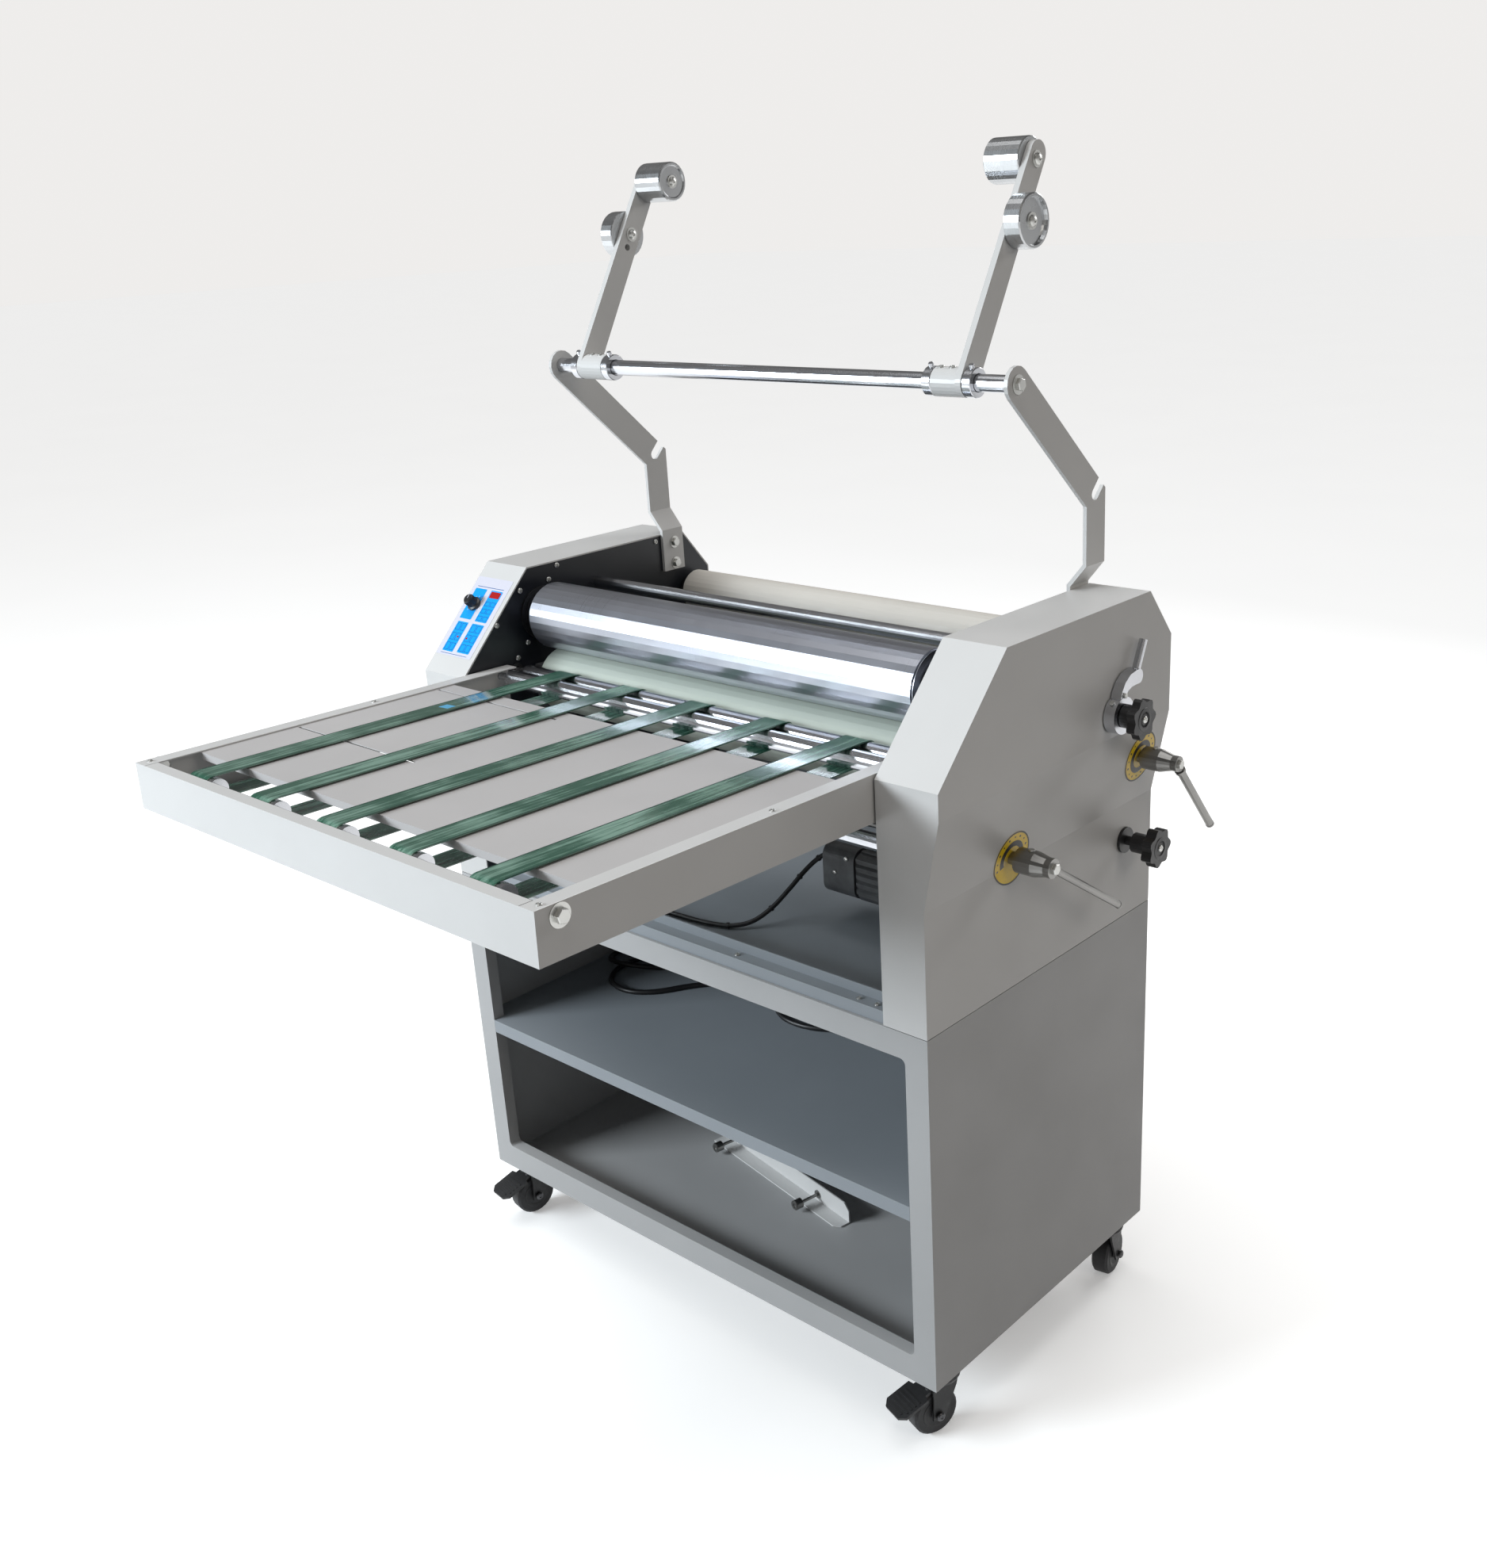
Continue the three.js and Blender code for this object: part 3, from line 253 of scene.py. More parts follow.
WHITE = powder_coat("white_paint", (0.60, 0.595, 0.585), 0.38)
# Shelf, base pan and rear panel: a bluish grey darker than the cabinet's paint, as painted shade for the
# bays under the table.
BAY_GREY_PAINTED_SHADE = powder_coat("grey_paint", (0.27, 0.295, 0.32), 0.45)
CABINET = powder_coat("cabinet_paint", (0.415, 0.415, 0.415), 0.42, spread=0.06)
BLACK_PLATE = powder_coat("black_plate", (0.009, 0.011, 0.016), 0.34, depth=0.00003)
TABLE = powder_coat("table_paint", (0.47, 0.455, 0.45), 0.55, grain=800, depth=0.00004, spread=0.05)
CHROME = turned_metal("chrome", (0.60, 0.61, 0.64), 0.19, marks=0.04)
ROLLER_CHROME = turned_metal("roller_chrome", (0.50, 0.52, 0.58), 0.29, marks=0.05)
HUB = turned_metal("hub_metal", (0.52, 0.53, 0.54), 0.25, marks=0.06)
STEEL = turned_metal("steel", (0.27, 0.265, 0.255), 0.3)
ZINC = turned_metal("zinc_screws", (0.55, 0.55, 0.53), 0.33, line_scale=900)
DARK_STEEL = turned_metal("dark_steel", (0.10, 0.10, 0.105), 0.38)
# Lower roller: the cream is darkened as painted shade, for the shade it lies in under the main roller.
CREAM_PAINTED_SHADE = rubber_skin("cream_rubber", (0.47, 0.52, 0.46), 0.42)
BEIGE = rubber_skin("beige_rubber", (0.60, 0.57, 0.52), 0.5)
TYRE = rubber_skin("caster_tyre", (0.018, 0.018, 0.02), 0.55)
CORD = rubber_skin("cord_rubber", (0.010, 0.010, 0.011), 0.4, grain=1600)
CAST = casting("cast_dark", (0.10, 0.103, 0.107), 0.5)
PLASTIC = moulded("black_plastic", (0.012, 0.012, 0.013), 0.34)
CASTER = moulded("caster_black", (0.014, 0.014, 0.015), 0.45)
BELT = belt_skin()
BLUE = plain("panel_blue", (0.002, 0.33, 0.86), 0.3)
DEEP_BLUE = plain("panel_deep_blue", (0.01, 0.10, 0.33), 0.35)
LABEL = plain("panel_label", (0.60, 0.60, 0.68), 0.4, vary=0.05)
RED = plain("panel_red", (0.45, 0.012, 0.012), 0.3)
DISPLAY = plain("display_red", (0.30, 0.008, 0.008), 0.2, glow=0.4)
YELLOW = plain("dial_yellow", (0.90, 0.60, 0.004), 0.35)
INK = plain("dial_ink", (0.012, 0.012, 0.013), 0.45)
TAPE = plain("blue_tape", (0.10, 0.38, 0.62), 0.5)
WHITE_WEAR = plain("worn_edge", (0.72, 0.72, 0.70), 0.6)
BELT_EDGE = plain("belt_edge", (0.018, 0.055, 0.04), 0.4)
BELT_PALE = plain("belt_joint_pale", (0.20, 0.30, 0.25), 0.4)

CASTER_PLACES = ("front_left", "front_right", "rear_left", "rear_right")
BRAKED_PLACES = CASTER_PLACES[:2]
BELT_COUNT = 5

CAD_FINISH = {
    WHITE: ["left_casing", "right_casing", "feed_table_frame", "side_guide", "left_film_bracket",
            "right_film_bracket", "left_film_arm", "right_film_arm"],
    CABINET: ["cabinet_body"],
    # The darker grey of the bays is painted shade.
    BAY_GREY_PAINTED_SHADE: ["base_pan", "rear_panel", "storage_shelf"],
    BLACK_PLATE: ["left_side_plate", "right_side_plate"],
    TABLE: ["feed_table_plate"],
    ROLLER_CHROME: ["main_roller"],
    CHROME: ["guide_bar", "tie_shaft", "film_cross_bar", "front_belt_shaft", "second_feed_roller",
             "rear_belt_roller", "decurl_lever"],
    HUB: ["left_upper_hub", "left_lower_hub", "right_upper_hub", "right_lower_hub"],
    STEEL: ["front_pressure_lever", "rear_pressure_lever", "main_sprocket", "motor_sprocket"],
    DARK_STEEL: ["drive_chain"],
    CREAM_PAINTED_SHADE: ["lower_roller"],
    BEIGE: ["upper_pull_roller", "lower_pull_roller"],
    CAST: ["lower_roller_carrier", "pull_roller_carrier", "gear_motor"],
    PLASTIC: ["upper_star_knob", "lower_star_knob", "speed_knob", "cord_gland", "mains_plug"],
    CASTER: [
        *(f"{place}_caster_fork" for place in CASTER_PLACES),
        *(f"{place}_brake_pedal" for place in BRAKED_PLACES),
    ],
    TYRE: [f"{place}_caster_wheel" for place in CASTER_PLACES],
    BELT: [f"feed_belt_{i + 1}" for i in range(BELT_COUNT)],
    CORD: ["mains_lead", "motor_cable"],
}
# Bevel widths in millimetres.
BEVEL = {
    WHITE: 0.8, CABINET: 0.8, BAY_GREY_PAINTED_SHADE: 0.5, BLACK_PLATE: 0.6, TABLE: 0.4, PLASTIC: 1.0, CASTER: 0.8, HUB: 0.4,
    STEEL: 0.5, CHROME: 0.4, CAST: 1.0, BELT: 0.2, TYRE: 0.5, DARK_STEEL: 0.3,
}
THIN_NODES = {
    "storage_shelf": 0.4, "feed_table_frame": 0.35, "side_guide": 0.4,
    "left_casing": 0.5, "right_casing": 0.5,
}
FLAT_ANGLE = math.radians(32)


def soften(obj, width):
    bevel = obj.modifiers.new("edge", "BEVEL")
    bevel.width = width * MM
    bevel.segments = 2
    bevel.limit_method = "ANGLE"
    bevel.angle_limit = FLAT_ANGLE
    bevel.harden_normals = True
    bevel.use_clamp_overlap = True


def smooth(obj):
    obj.data.shade_smooth()
    obj.data.set_sharp_from_angle(angle=FLAT_ANGLE)


def finish_cad_nodes():
    for material, names in CAD_FINISH.items():
        for name in names:
            obj = NODES[name]
            obj.data.materials.clear()
            obj.data.materials.append(material)
            smooth(obj)
            width = THIN_NODES.get(name, BEVEL.get(material, 0))
            if width:
                soften(obj, width)


finish_cad_nodes()


# ---------------------------------------------------------------- mesh helpers
def piece(name, build, material, body, bevel=0.0):
    """A mesh drawn by build, which adds to the bmesh it is given, riding on body."""
    made = bmesh.new()
    build(made)
    bmesh.ops.remove_doubles(made, verts=made.verts, dist=1e-7)
    bmesh.ops.recalc_face_normals(made, faces=made.faces)
    mesh = bpy.data.meshes.new(name)
    made.to_mesh(mesh)
    made.free()
    mesh.materials.append(material)
    obj = bpy.data.objects.new(name, mesh)
    bpy.context.scene.collection.objects.link(obj)
    smooth(obj)
    if bevel:
        soften(obj, bevel)
    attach(obj, body)


def add_turned(made, profile, centre, axis, sides):
    """A closed turned body; the profile is [station, radius] in millimetres from centre along axis."""
    n = Vector(axis).normalized()
    u = n.orthogonal().normalized()
    v = n.cross(u)
    rings = []
    for station, radius in profile:
        middle = centre + n * station * MM
        if radius <= 0:
            rings.append([made.verts.new(middle)])
            continue
        rings.append([
            made.verts.new(middle + (u * math.cos(t) + v * math.sin(t)) * radius * MM)
            for t in (2 * math.pi * i / sides for i in range(sides))
        ])
    for low, high in zip(rings, rings[1:]):
        for i in range(sides):
            j = (i + 1) % sides
            if len(low) == 1 and len(high) == 1:
                continue
            if len(low) == 1:
                face = (low[0], high[j], high[i])
            elif len(high) == 1:
                face = (low[i], low[j], high[0])
            else:
                face = (low[i], low[j], high[j], high[i])
            made.faces.new(face)


def add_prism(made, outline, origin, u, v, depth):
    """A plate: outline in millimetres along u and v from origin, raised by depth along u x v."""
    u, v = Vector(u).normalized(), Vector(v).normalized()
    n = u.cross(v)
    low = [made.verts.new(origin + (u * a + v * b) * MM) for a, b in outline]
    high = [made.verts.new(p.co + n * depth * MM) for p in low]
    made.faces.new(low[::-1])
    made.faces.new(high)
    count = len(outline)
    for i in range(count):
        j = (i + 1) % count
        made.faces.new((low[i], low[j], high[j], high[i]))


def rectangle(u0, u1, v0, v1):
    return [(u0, v0), (u1, v0), (u1, v1), (u0, v1)]


def rounded(u0, u1, v0, v1, r, steps=5):
    """A rectangle with arcs for corners, as points in millimetres."""
    points = []
    left, right, low, high = u0 + r, u1 - r, v0 + r, v1 - r
    for cu, cv, start in ((right, high, 0), (left, high, 90), (left, low, 180), (right, low, 270)):
        for i in range(steps + 1):
            t = math.radians(start + 90 * i / steps)
            points.append((cu + r * math.cos(t), cv + r * math.sin(t)))
    return points


def add_ring(made, centre, axis, outer, inner, depth, sides):
    profile = [[0, inner], [0, outer], [depth, outer], [depth, inner], [0, inner]]
    add_turned(made, profile, centre, axis, sides)


# Screw heads as [station, radius] for a head of radius 1.
BUTTON_HEAD = [[0, 0], [0, 1.0], [0.25, 1.0], [0.5, 0.82], [0.62, 0.5], [0.62, 0.42], [0.3, 0.36], [0.3, 0]]
HEX_HEAD = [[0, 0], [0, 0.94], [0.12, 1.0], [0.6, 1.0], [0.72, 0.9], [0.72, 0]]
PAN_HEAD = [[0, 0], [0, 1.0], [0.2, 0.98], [0.45, 0.75], [0.55, 0.35], [0.38, 0.2], [0.38, 0]]
WASHER_THICK = 1.2


def add_bolt(made, head, radius, centre, axis, washer=0.0):
    """A bolt head of the given radius, on a washer if that has a radius."""
    lift = WASHER_THICK if washer else 0.0
    if washer:
        add_turned(made, [[0, 0], [0, washer], [lift, washer], [lift, 0]], centre, axis, 28)
    profile = [[lift + s * radius, r * radius] for s, r in head]
    add_turned(made, profile, centre, axis, 6 if head is HEX_HEAD else 24)


def bolts(name, body, places, head, radius, washer=0.0):
    """One piece of several like bolts; places are (point in machine mm, axis)."""
    def build(made):
        for point, axis in places:
            add_bolt(made, head, radius, at(*point), axis, washer)
    piece(name, build, ZINC, body)


# ---------------------------------------------------------------- cords
def along_route(points, per_span=8):
    """The centripetal Catmull-Rom line through points."""
    p = [Vector(q) for q in points]
    p = [2 * p[0] - p[1], *p, 2 * p[-1] - p[-2]]
    line = []
    for a, b, c, d in zip(p, p[1:], p[2:], p[3:]):
        t1 = (b - a).length ** 0.5
        t2 = t1 + (c - b).length ** 0.5
        t3 = t2 + (d - c).length ** 0.5
        for i in range(per_span):
            t = t1 + (t2 - t1) * i / per_span
            a1 = a * ((t1 - t) / t1) + b * (t / t1)
            a2 = b * ((t2 - t) / (t2 - t1)) + c * ((t - t1) / (t2 - t1))
            a3 = c * ((t3 - t) / (t3 - t2)) + d * ((t - t2) / (t3 - t2))
            b1 = a1 * ((t2 - t) / t2) + a2 * (t / t2)
            b2 = a2 * ((t3 - t) / (t3 - t1)) + a3 * ((t - t1) / (t3 - t1))
            line.append(b1 * ((t2 - t) / (t2 - t1)) + b2 * ((t - t1) / (t2 - t1)))
    return [*line, p[-2]]


def cable(name, line, radius):
    data = bpy.data.curves.new(name, "CURVE")
    data.dimensions = "3D"
    data.bevel_depth = radius * MM
    data.bevel_resolution = 3
    data.use_fill_caps = True
    spline = data.splines.new("POLY")
    spline.points.add(len(line) - 1)
    for point, place in zip(spline.points, line):
        point.co = (*at(*place), 1)
    data.materials.append(CORD)
    obj = bpy.data.objects.new(name, data)
    bpy.context.scene.collection.objects.link(obj)
    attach(obj, FRAME_BODY)
    return obj


# Points chosen along each cord's middle line.
ON_SHELF = 353.4
MAINS_LEAD = [
    (-300, 440, 544.5), (-300, 440, 515), (-300, 439, 470), (-302, 437, 434), (-309, 432, 402),
    (-324, 422, 376), (-344, 406, 360), (-366, 380, 354), (-388, 343, ON_SHELF),
    (-406, 301, ON_SHELF), (-409, 263, 354), (-402, 241, 356), (-386, 228.5, 359.6),
    (-366, 225.5, 362.2), (-345, 231.5, 361.6), (-326, 245, 358.4), (-309, 264, 354.6),
    (-292, 289, ON_SHELF), (-277, 316, ON_SHELF), (-257, 341, ON_SHELF), (-231, 353, ON_SHELF),
    (-204, 347, ON_SHELF), (-188, 325, ON_SHELF), (-189, 298, ON_SHELF), (-204, 276, ON_SHELF),
    (-220, 257, ON_SHELF), (-235, 237, ON_SHELF), (-249, 214, ON_SHELF), (-266, 194, ON_SHELF),
    (-290, 180, ON_SHELF), (-317, 178, ON_SHELF), (-343, 188, ON_SHELF), (-360, 209, ON_SHELF),
    (-367, 234, ON_SHELF), (-364, 268, ON_SHELF), (-353, 306, ON_SHELF), (-332, 344, ON_SHELF),
    (-300, 376, ON_SHELF), (-258, 394, ON_SHELF), (-212, 396, ON_SHELF), (-170, 382, ON_SHELF),
    (-137, 353, ON_SHELF), (-109, 316, ON_SHELF), (-82, 282, ON_SHELF), (-50, 259, ON_SHELF),
    (-20, 253, ON_SHELF), (12, 258, ON_SHELF), (42, 275, ON_SHELF), (64, 304, ON_SHELF),
    (71, 340, ON_SHELF), (62, 375, ON_SHELF), (38, 403, ON_SHELF), (4, 418, ON_SHELF),
    (-32, 420, ON_SHELF), (-66, 416, ON_SHELF),
]
MOTOR_CABLE = [
    (127.3, 195, 672), (119, 195, 671.7), (110, 191.5, 668.5), (101, 183, 660), (93, 169, 647),
    (85, 150, 629), (75, 124, 608), (61, 101, 594), (42, 85, 589), (12, 74, 588), (-50, 67, 588),
    (-120, 63, 588), (-200, 60, 588), (-262, 58, 589), (-308, 58, 595), (-340, 60, 603),
    (-368, 60, 606),
]


def make_cords():
    lead = cable("mains_lead_cord", along_route(MAINS_LEAD), 4)
    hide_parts("mains_lead")
    motor = cable("motor_cable_cord", along_route(MOTOR_CABLE), 3.2)
    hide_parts("motor_cable")


make_cords()


# ---------------------------------------------------------------- printed dials on the casing
FLARE_LOW, FLARE_HIGH, SIDE_LOW = 738, 849.5, 427
FLARE_RISE = (CASING_HALF - SIDE_LOW) / (FLARE_HIGH - FLARE_LOW)


def casing_x(z):
    return SIDE_LOW + max(0.0, min(z, FLARE_HIGH) - FLARE_LOW) * FLARE_RISE


FLARE_UP = Vector((FLARE_RISE, 0, 1)).normalized()
FLARE_ALONG = Vector((0, 1, 0))
FLARE_OUT = FLARE_ALONG.cross(FLARE_UP)


def hug_casing(made):
    """Carry a flat sticker over the fold below the flare."""
    for vert in made.verts:
        z = (vert.co.z - SHIFT.z) / MM
        vert.co.x += (casing_x(z) - SIDE_LOW - (z - FLARE_LOW) * FLARE_RISE) * MM


DIAL_R, DIAL_RIM, DIAL_THICK, INK_THICK = 34, 1.9, 0.25, 0.12
DOT_PLACE, RING_OUTER, RING_INNER = 0.81, 0.66, 0.45
DOT_COUNT = 16


def dial(name, y, z, r):
    """Round yellow sticker with a black rim, an inner ring and dots between them."""
    centre = at(casing_x(z) + 0.05, y, z)
    shares = (0.9, DOT_PLACE, RING_OUTER, RING_INNER, 0.25, 0)
    rings = [[DIAL_THICK, r * share] for share in shares]
    disc = [[0, 0], [0, r], [DIAL_THICK, r - 0.1], *rings]

    def base(made):
        add_turned(made, disc, centre, FLARE_OUT, 64)
        hug_casing(made)
    piece(f"{name}_yellow", base, YELLOW, FRAME_BODY)

    def ink(made):
        face = centre + FLARE_OUT * DIAL_THICK * MM
        add_ring(made, face, FLARE_OUT, r, r - DIAL_RIM, INK_THICK, 64)
        add_ring(made, face, FLARE_OUT, r * RING_OUTER, r * RING_INNER, INK_THICK, 64)
        for i in range(DOT_COUNT):
            t = 2 * math.pi * i / DOT_COUNT
            spot = face + (FLARE_ALONG * math.cos(t) + FLARE_UP * math.sin(t)) * r * DOT_PLACE * MM
            dot = [[0, 0], [0, 1.1 + 0.5 * (i % 2)], [INK_THICK, 1.1], [INK_THICK, 0]]
            add_turned(made, dot, spot, FLARE_OUT, 12)
        hug_casing(made)
    piece(f"{name}_ink", ink, INK, FRAME_BODY)


dial("front_dial", *FRONT_LEVER, DIAL_R)
dial("rear_dial", *REAR_LEVER, DIAL_R)

# ---------------------------------------------------------------- control panel on the left sloped face
NOSE_Z, SLOPE_Y, SLOPE_Z = 881.7, 127.4, 1012
SLOPE = math.atan2(SLOPE_Z - NOSE_Z, SLOPE_Y)
SLOPE_UP = Vector((0, math.cos(SLOPE), math.sin(SLOPE)))
SLOPE_OUT = X_AXIS.cross(SLOPE_UP)


def on_slope(x, along, lift=0.0):
    point = Vector((x, along * math.cos(SLOPE), NOSE_Z + along * math.sin(SLOPE)))
    return at(*(point + SLOPE_OUT * lift))


def slope_plate(name, material, rects, low, high, radius=2.0):
    """Flat plates with round corners on the sloped face, from low to high above it."""
    def build(made):
        for x0, x1, s0, s1 in rects:
            r = min(radius, (x1 - x0) / 2.2, (s1 - s0) / 2.2)
            outline = rounded(x0, x1, s0, s1, r, 4)
            add_prism(made, outline, on_slope(0, 0, low), X_AXIS, SLOPE_UP, high - low)
    piece(name, build, material, FRAME_BODY)


# Fields and keys are (left, right, low, high) up the slope.
BLUE_FIELDS = [(-441, -416, 88, 138), (-406, -381, 87, 138), (-439, -416, 35, 83), (-407, -381, 36, 83)]
KEY_FIELDS = [*BLUE_FIELDS[2:], (-406, -381, 87, 122)]
KEY_ROWS, KEY_MARGIN, KEY_BAR = 3, 2.2, 0.7


def key_frames():
    """Outlines of the membrane keys: thin bars round each key."""
    bars = []
    for x0, x1, s0, s1 in KEY_FIELDS:
        step = (s1 - s0) / KEY_ROWS
        middle = (x0 + x1) / 2
        for row in range(KEY_ROWS):
            low = s0 + row * step + KEY_MARGIN
            high = s0 + (row + 1) * step - KEY_MARGIN
            for left, right in ((x0 + 2, middle - 1), (middle + 1, x1 - 2)):
                bars.append((left, right, low, low + KEY_BAR))
                bars.append((left, right, high - KEY_BAR, high))
                bars.append((left, left + KEY_BAR, low, high))
                bars.append((right - KEY_BAR, right, low, high))
    return bars


slope_plate("panel_label", LABEL, [(-449, -372, 29, 157)], 0.05, 0.3)
slope_plate("panel_blue_fields", BLUE, BLUE_FIELDS, 0.3, 0.5, 1.5)
slope_plate("panel_key_frames", DEEP_BLUE, key_frames(), 0.5, 0.62, 0.3)
slope_plate("panel_display", DISPLAY, [(-404, -383, 126, 136)], 0.5, 0.75, 1.0)
slope_plate("panel_lamps", RED, [(-423.5, -420.5, 57.5, 60.5), (-403.5, -400.5, 57.5, 60.5)], 0.62, 0.9, 1.4)
slope_plate("panel_rules", DEEP_BLUE, [(-440, -382, 141, 141.8), (-440, -382, 31.5, 32.2)], 0.3, 0.4, 0.3)


KNOB_X, KNOB_ALONG = -424, 112
TICK_COUNT, RIB_COUNT = 11, 24


def round_knob(degrees):
    """The direction away from the speed knob's axis at an angle, and the one across it."""
    t = math.radians(degrees)
    away = X_AXIS * math.cos(t) + SLOPE_UP * math.sin(t)
    return away, SLOPE_OUT.cross(away)


def knob_details():
    """Arc of ticks round the speed knob, and the pointer line and ribs on the knob."""
    def scale(made):
        centre = on_slope(KNOB_X, KNOB_ALONG, 0.5)
        for i in range(TICK_COUNT):
            add_prism(made, rectangle(12, 14.5, -0.35, 0.35), centre, *round_knob(225 - 27 * i), 0.14)
    piece("knob_scale", scale, LABEL, FRAME_BODY)

    def pointer(made):
        centre = on_slope(KNOB_X, KNOB_ALONG, 17.2)
        add_prism(made, rectangle(-0.5, 0.5, 0.5, 5.6), centre, X_AXIS, SLOPE_UP, 0.2)
    piece("knob_pointer", pointer, LABEL, "speed_knob")

    def ribs(made):
        centre = on_slope(KNOB_X, KNOB_ALONG, 6)
        for i in range(RIB_COUNT):
            directions = round_knob(360 * i / RIB_COUNT)
            add_prism(made, rectangle(6.8, 8.3, -0.3, 0.3), centre, *directions, 8.5)
    piece("knob_ribs", ribs, PLASTIC, "speed_knob")


knob_details()

# ---------------------------------------------------------------- collars and bolts of the film arms
BAR_Y, BAR_Z = 242, 1274
ARM_LEAN = math.radians(60)


def arm_point(x, reach):
    """A point beside a film arm, at a distance from the bar along the arm."""
    return (x, BAR_Y + reach * math.cos(ARM_LEAN), BAR_Z + reach * math.sin(ARM_LEAN))


def bar_collar(name, x0, x1):
    """A turned collar on the cross bar with a set screw on top."""
    width = x1 - x0
    profile = [[0, 10.6], [0, 16.2], [0.8, 17], [width - 0.8, 17], [width, 16.2], [width, 10.6], [0, 10.6]]

    def build(made):
        add_turned(made, profile, at(x0, BAR_Y, BAR_Z), X_AXIS, 40)
        middle = at((x0 + x1) / 2, BAR_Y, BAR_Z)
        add_turned(made, [[15, 0], [15, 3.2], [21, 3.2], [22.2, 2.2], [22.2, 0]], middle, (0, -0.25, 1), 16)
    piece(name, build, CHROME, FRAME_BODY)


bar_collar("left_outer_collar", -344, -332)
bar_collar("left_inner_collar", -282.5, -270)
bar_collar("right_inner_collar", 264, 276.5)
bar_collar("right_outer_collar", 321, 333)

LEFT_ARM_X, RIGHT_ARM_X, ARM_THICK = -323, 312, 8
UPPER_REACH, LOWER_REACH = 268.5, 193
UPPER_HUB_FACE, LOWER_HUB_FACE = 47.8, 18.8
for side, inner, toward in (("left", LEFT_ARM_X, 1), ("right", RIGHT_ARM_X, -1)):
    outer = inner - toward * ARM_THICK
    bolts(f"{side}_arm_bolts", f"{side}_film_arm", [
        (arm_point(outer, UPPER_REACH), (-toward, 0, 0)),
        (arm_point(inner, LOWER_REACH), (toward, 0, 0)),
    ], PAN_HEAD, 6.5, 9.5)
    bolts(f"{side}_sleeve_screw", f"{side}_film_arm", [
        ((inner + toward * 12, BAR_Y - 4, BAR_Z + 15.8), (0, -0.25, 1)),
        ((inner + toward * 28, BAR_Y - 4, BAR_Z + 15.8), (0, -0.25, 1)),
    ], BUTTON_HEAD, 4.0)
    bolts(f"{side}_upper_hub_bolt", f"{side}_upper_hub", [
        (arm_point(inner + toward * UPPER_HUB_FACE, UPPER_REACH), (toward, 0, 0))], PAN_HEAD, 6.0, 8.5)
    bolts(f"{side}_lower_hub_bolt", f"{side}_lower_hub", [
        (arm_point(outer - toward * LOWER_HUB_FACE, LOWER_REACH), (-toward, 0, 0))], PAN_HEAD, 6.5, 9.5)

for side, toward in (("left", -1), ("right", 1)):
    bolts(f"{side}_bar_end_bolt", FRAME_BODY, [
        ((toward * 386, BAR_Y, BAR_Z), (toward, 0, 0))], HEX_HEAD, 7.5, 11)
    bolts(f"{side}_bracket_bolts", FRAME_BODY, [
        ((toward * 358.3, 407, 998.5), (-toward, 0, 0)), ((toward * 358.3, 407, 966.8), (-toward, 0, 0))],
        HEX_HEAD, 6.5, 9)

# ---------------------------------------------------------------- feed table
TILT = math.radians(-1.27)
BELT_Y, BELT_Z = BELT_ROLLER
TABLE_TOP, TABLE_HALF, TABLE_FRONT = 884.5, 361, -468
TABLE_ALONG = Vector((0, math.cos(TILT), math.sin(TILT)))
TABLE_UP = Vector((0, -math.sin(TILT), math.cos(TILT)))


def on_table(x, y, z):
    """A point drawn on the level table, tipped with it about the rear belt roller."""
    dy, dz = y - BELT_Y, z - BELT_Z
    cos, sin = math.cos(TILT), math.sin(TILT)
    return (x, BELT_Y + dy * cos - dz * sin, BELT_Z + dy * sin + dz * cos)


for side, toward in (("left", -1), ("right", 1)):
    bolts(f"{side}_tension_bolt", FRAME_BODY, [
        (on_table(toward * TABLE_HALF, -440, BELT_Z), (toward, 0, 0))], HEX_HEAD, 8.0, 12.5)
    bolts(f"{side}_table_screws", FRAME_BODY, [
        (on_table(toward * 352, y, TABLE_TOP), TABLE_UP) for y in (-455, -150)], PAN_HEAD, 3.4)
    bolts(f"{side}_roller_nuts", FRAME_BODY, [
        (on_table(toward * (TABLE_HALF + 1.2), 60, BELT_Z), (toward, 0, 0))], HEX_HEAD, 5.2)


def rail_marks():
    """Rub marks along the outer top edges of the table rails, and the seams at its front corners."""
    def build(made):
        for toward in (-1, 1):
            origin = at(*on_table(toward * (TABLE_HALF - 0.5), TABLE_FRONT + 3, TABLE_TOP + 0.02))
            add_prism(made, rectangle(-0.45, 0.45, 0, 470), origin, X_AXIS, TABLE_ALONG, 0.08)
    piece("rail_rub_marks", build, WHITE_WEAR, FRAME_BODY)

    def seam(made):
        for toward in (-1, 1):
            origin = at(*on_table(toward * (TABLE_HALF - 21.5), TABLE_FRONT + 16.2, TABLE_TOP + 0.02))
            add_prism(made, rectangle(-0.3, 0.3, -16, 0), origin, X_AXIS, TABLE_ALONG, 0.06)
    piece("corner_seams", seam, INK, FRAME_BODY)


rail_marks()

BELT_PITCH, BELT_MIDDLE, BELT_WIDTH = 128.5, 6, 36
BELT_TOP = BELT_Z + 14


def belt_x(i):
    """The middle of belt i, counted from 0 at the left."""
    return BELT_MIDDLE + (i - 2) * BELT_PITCH


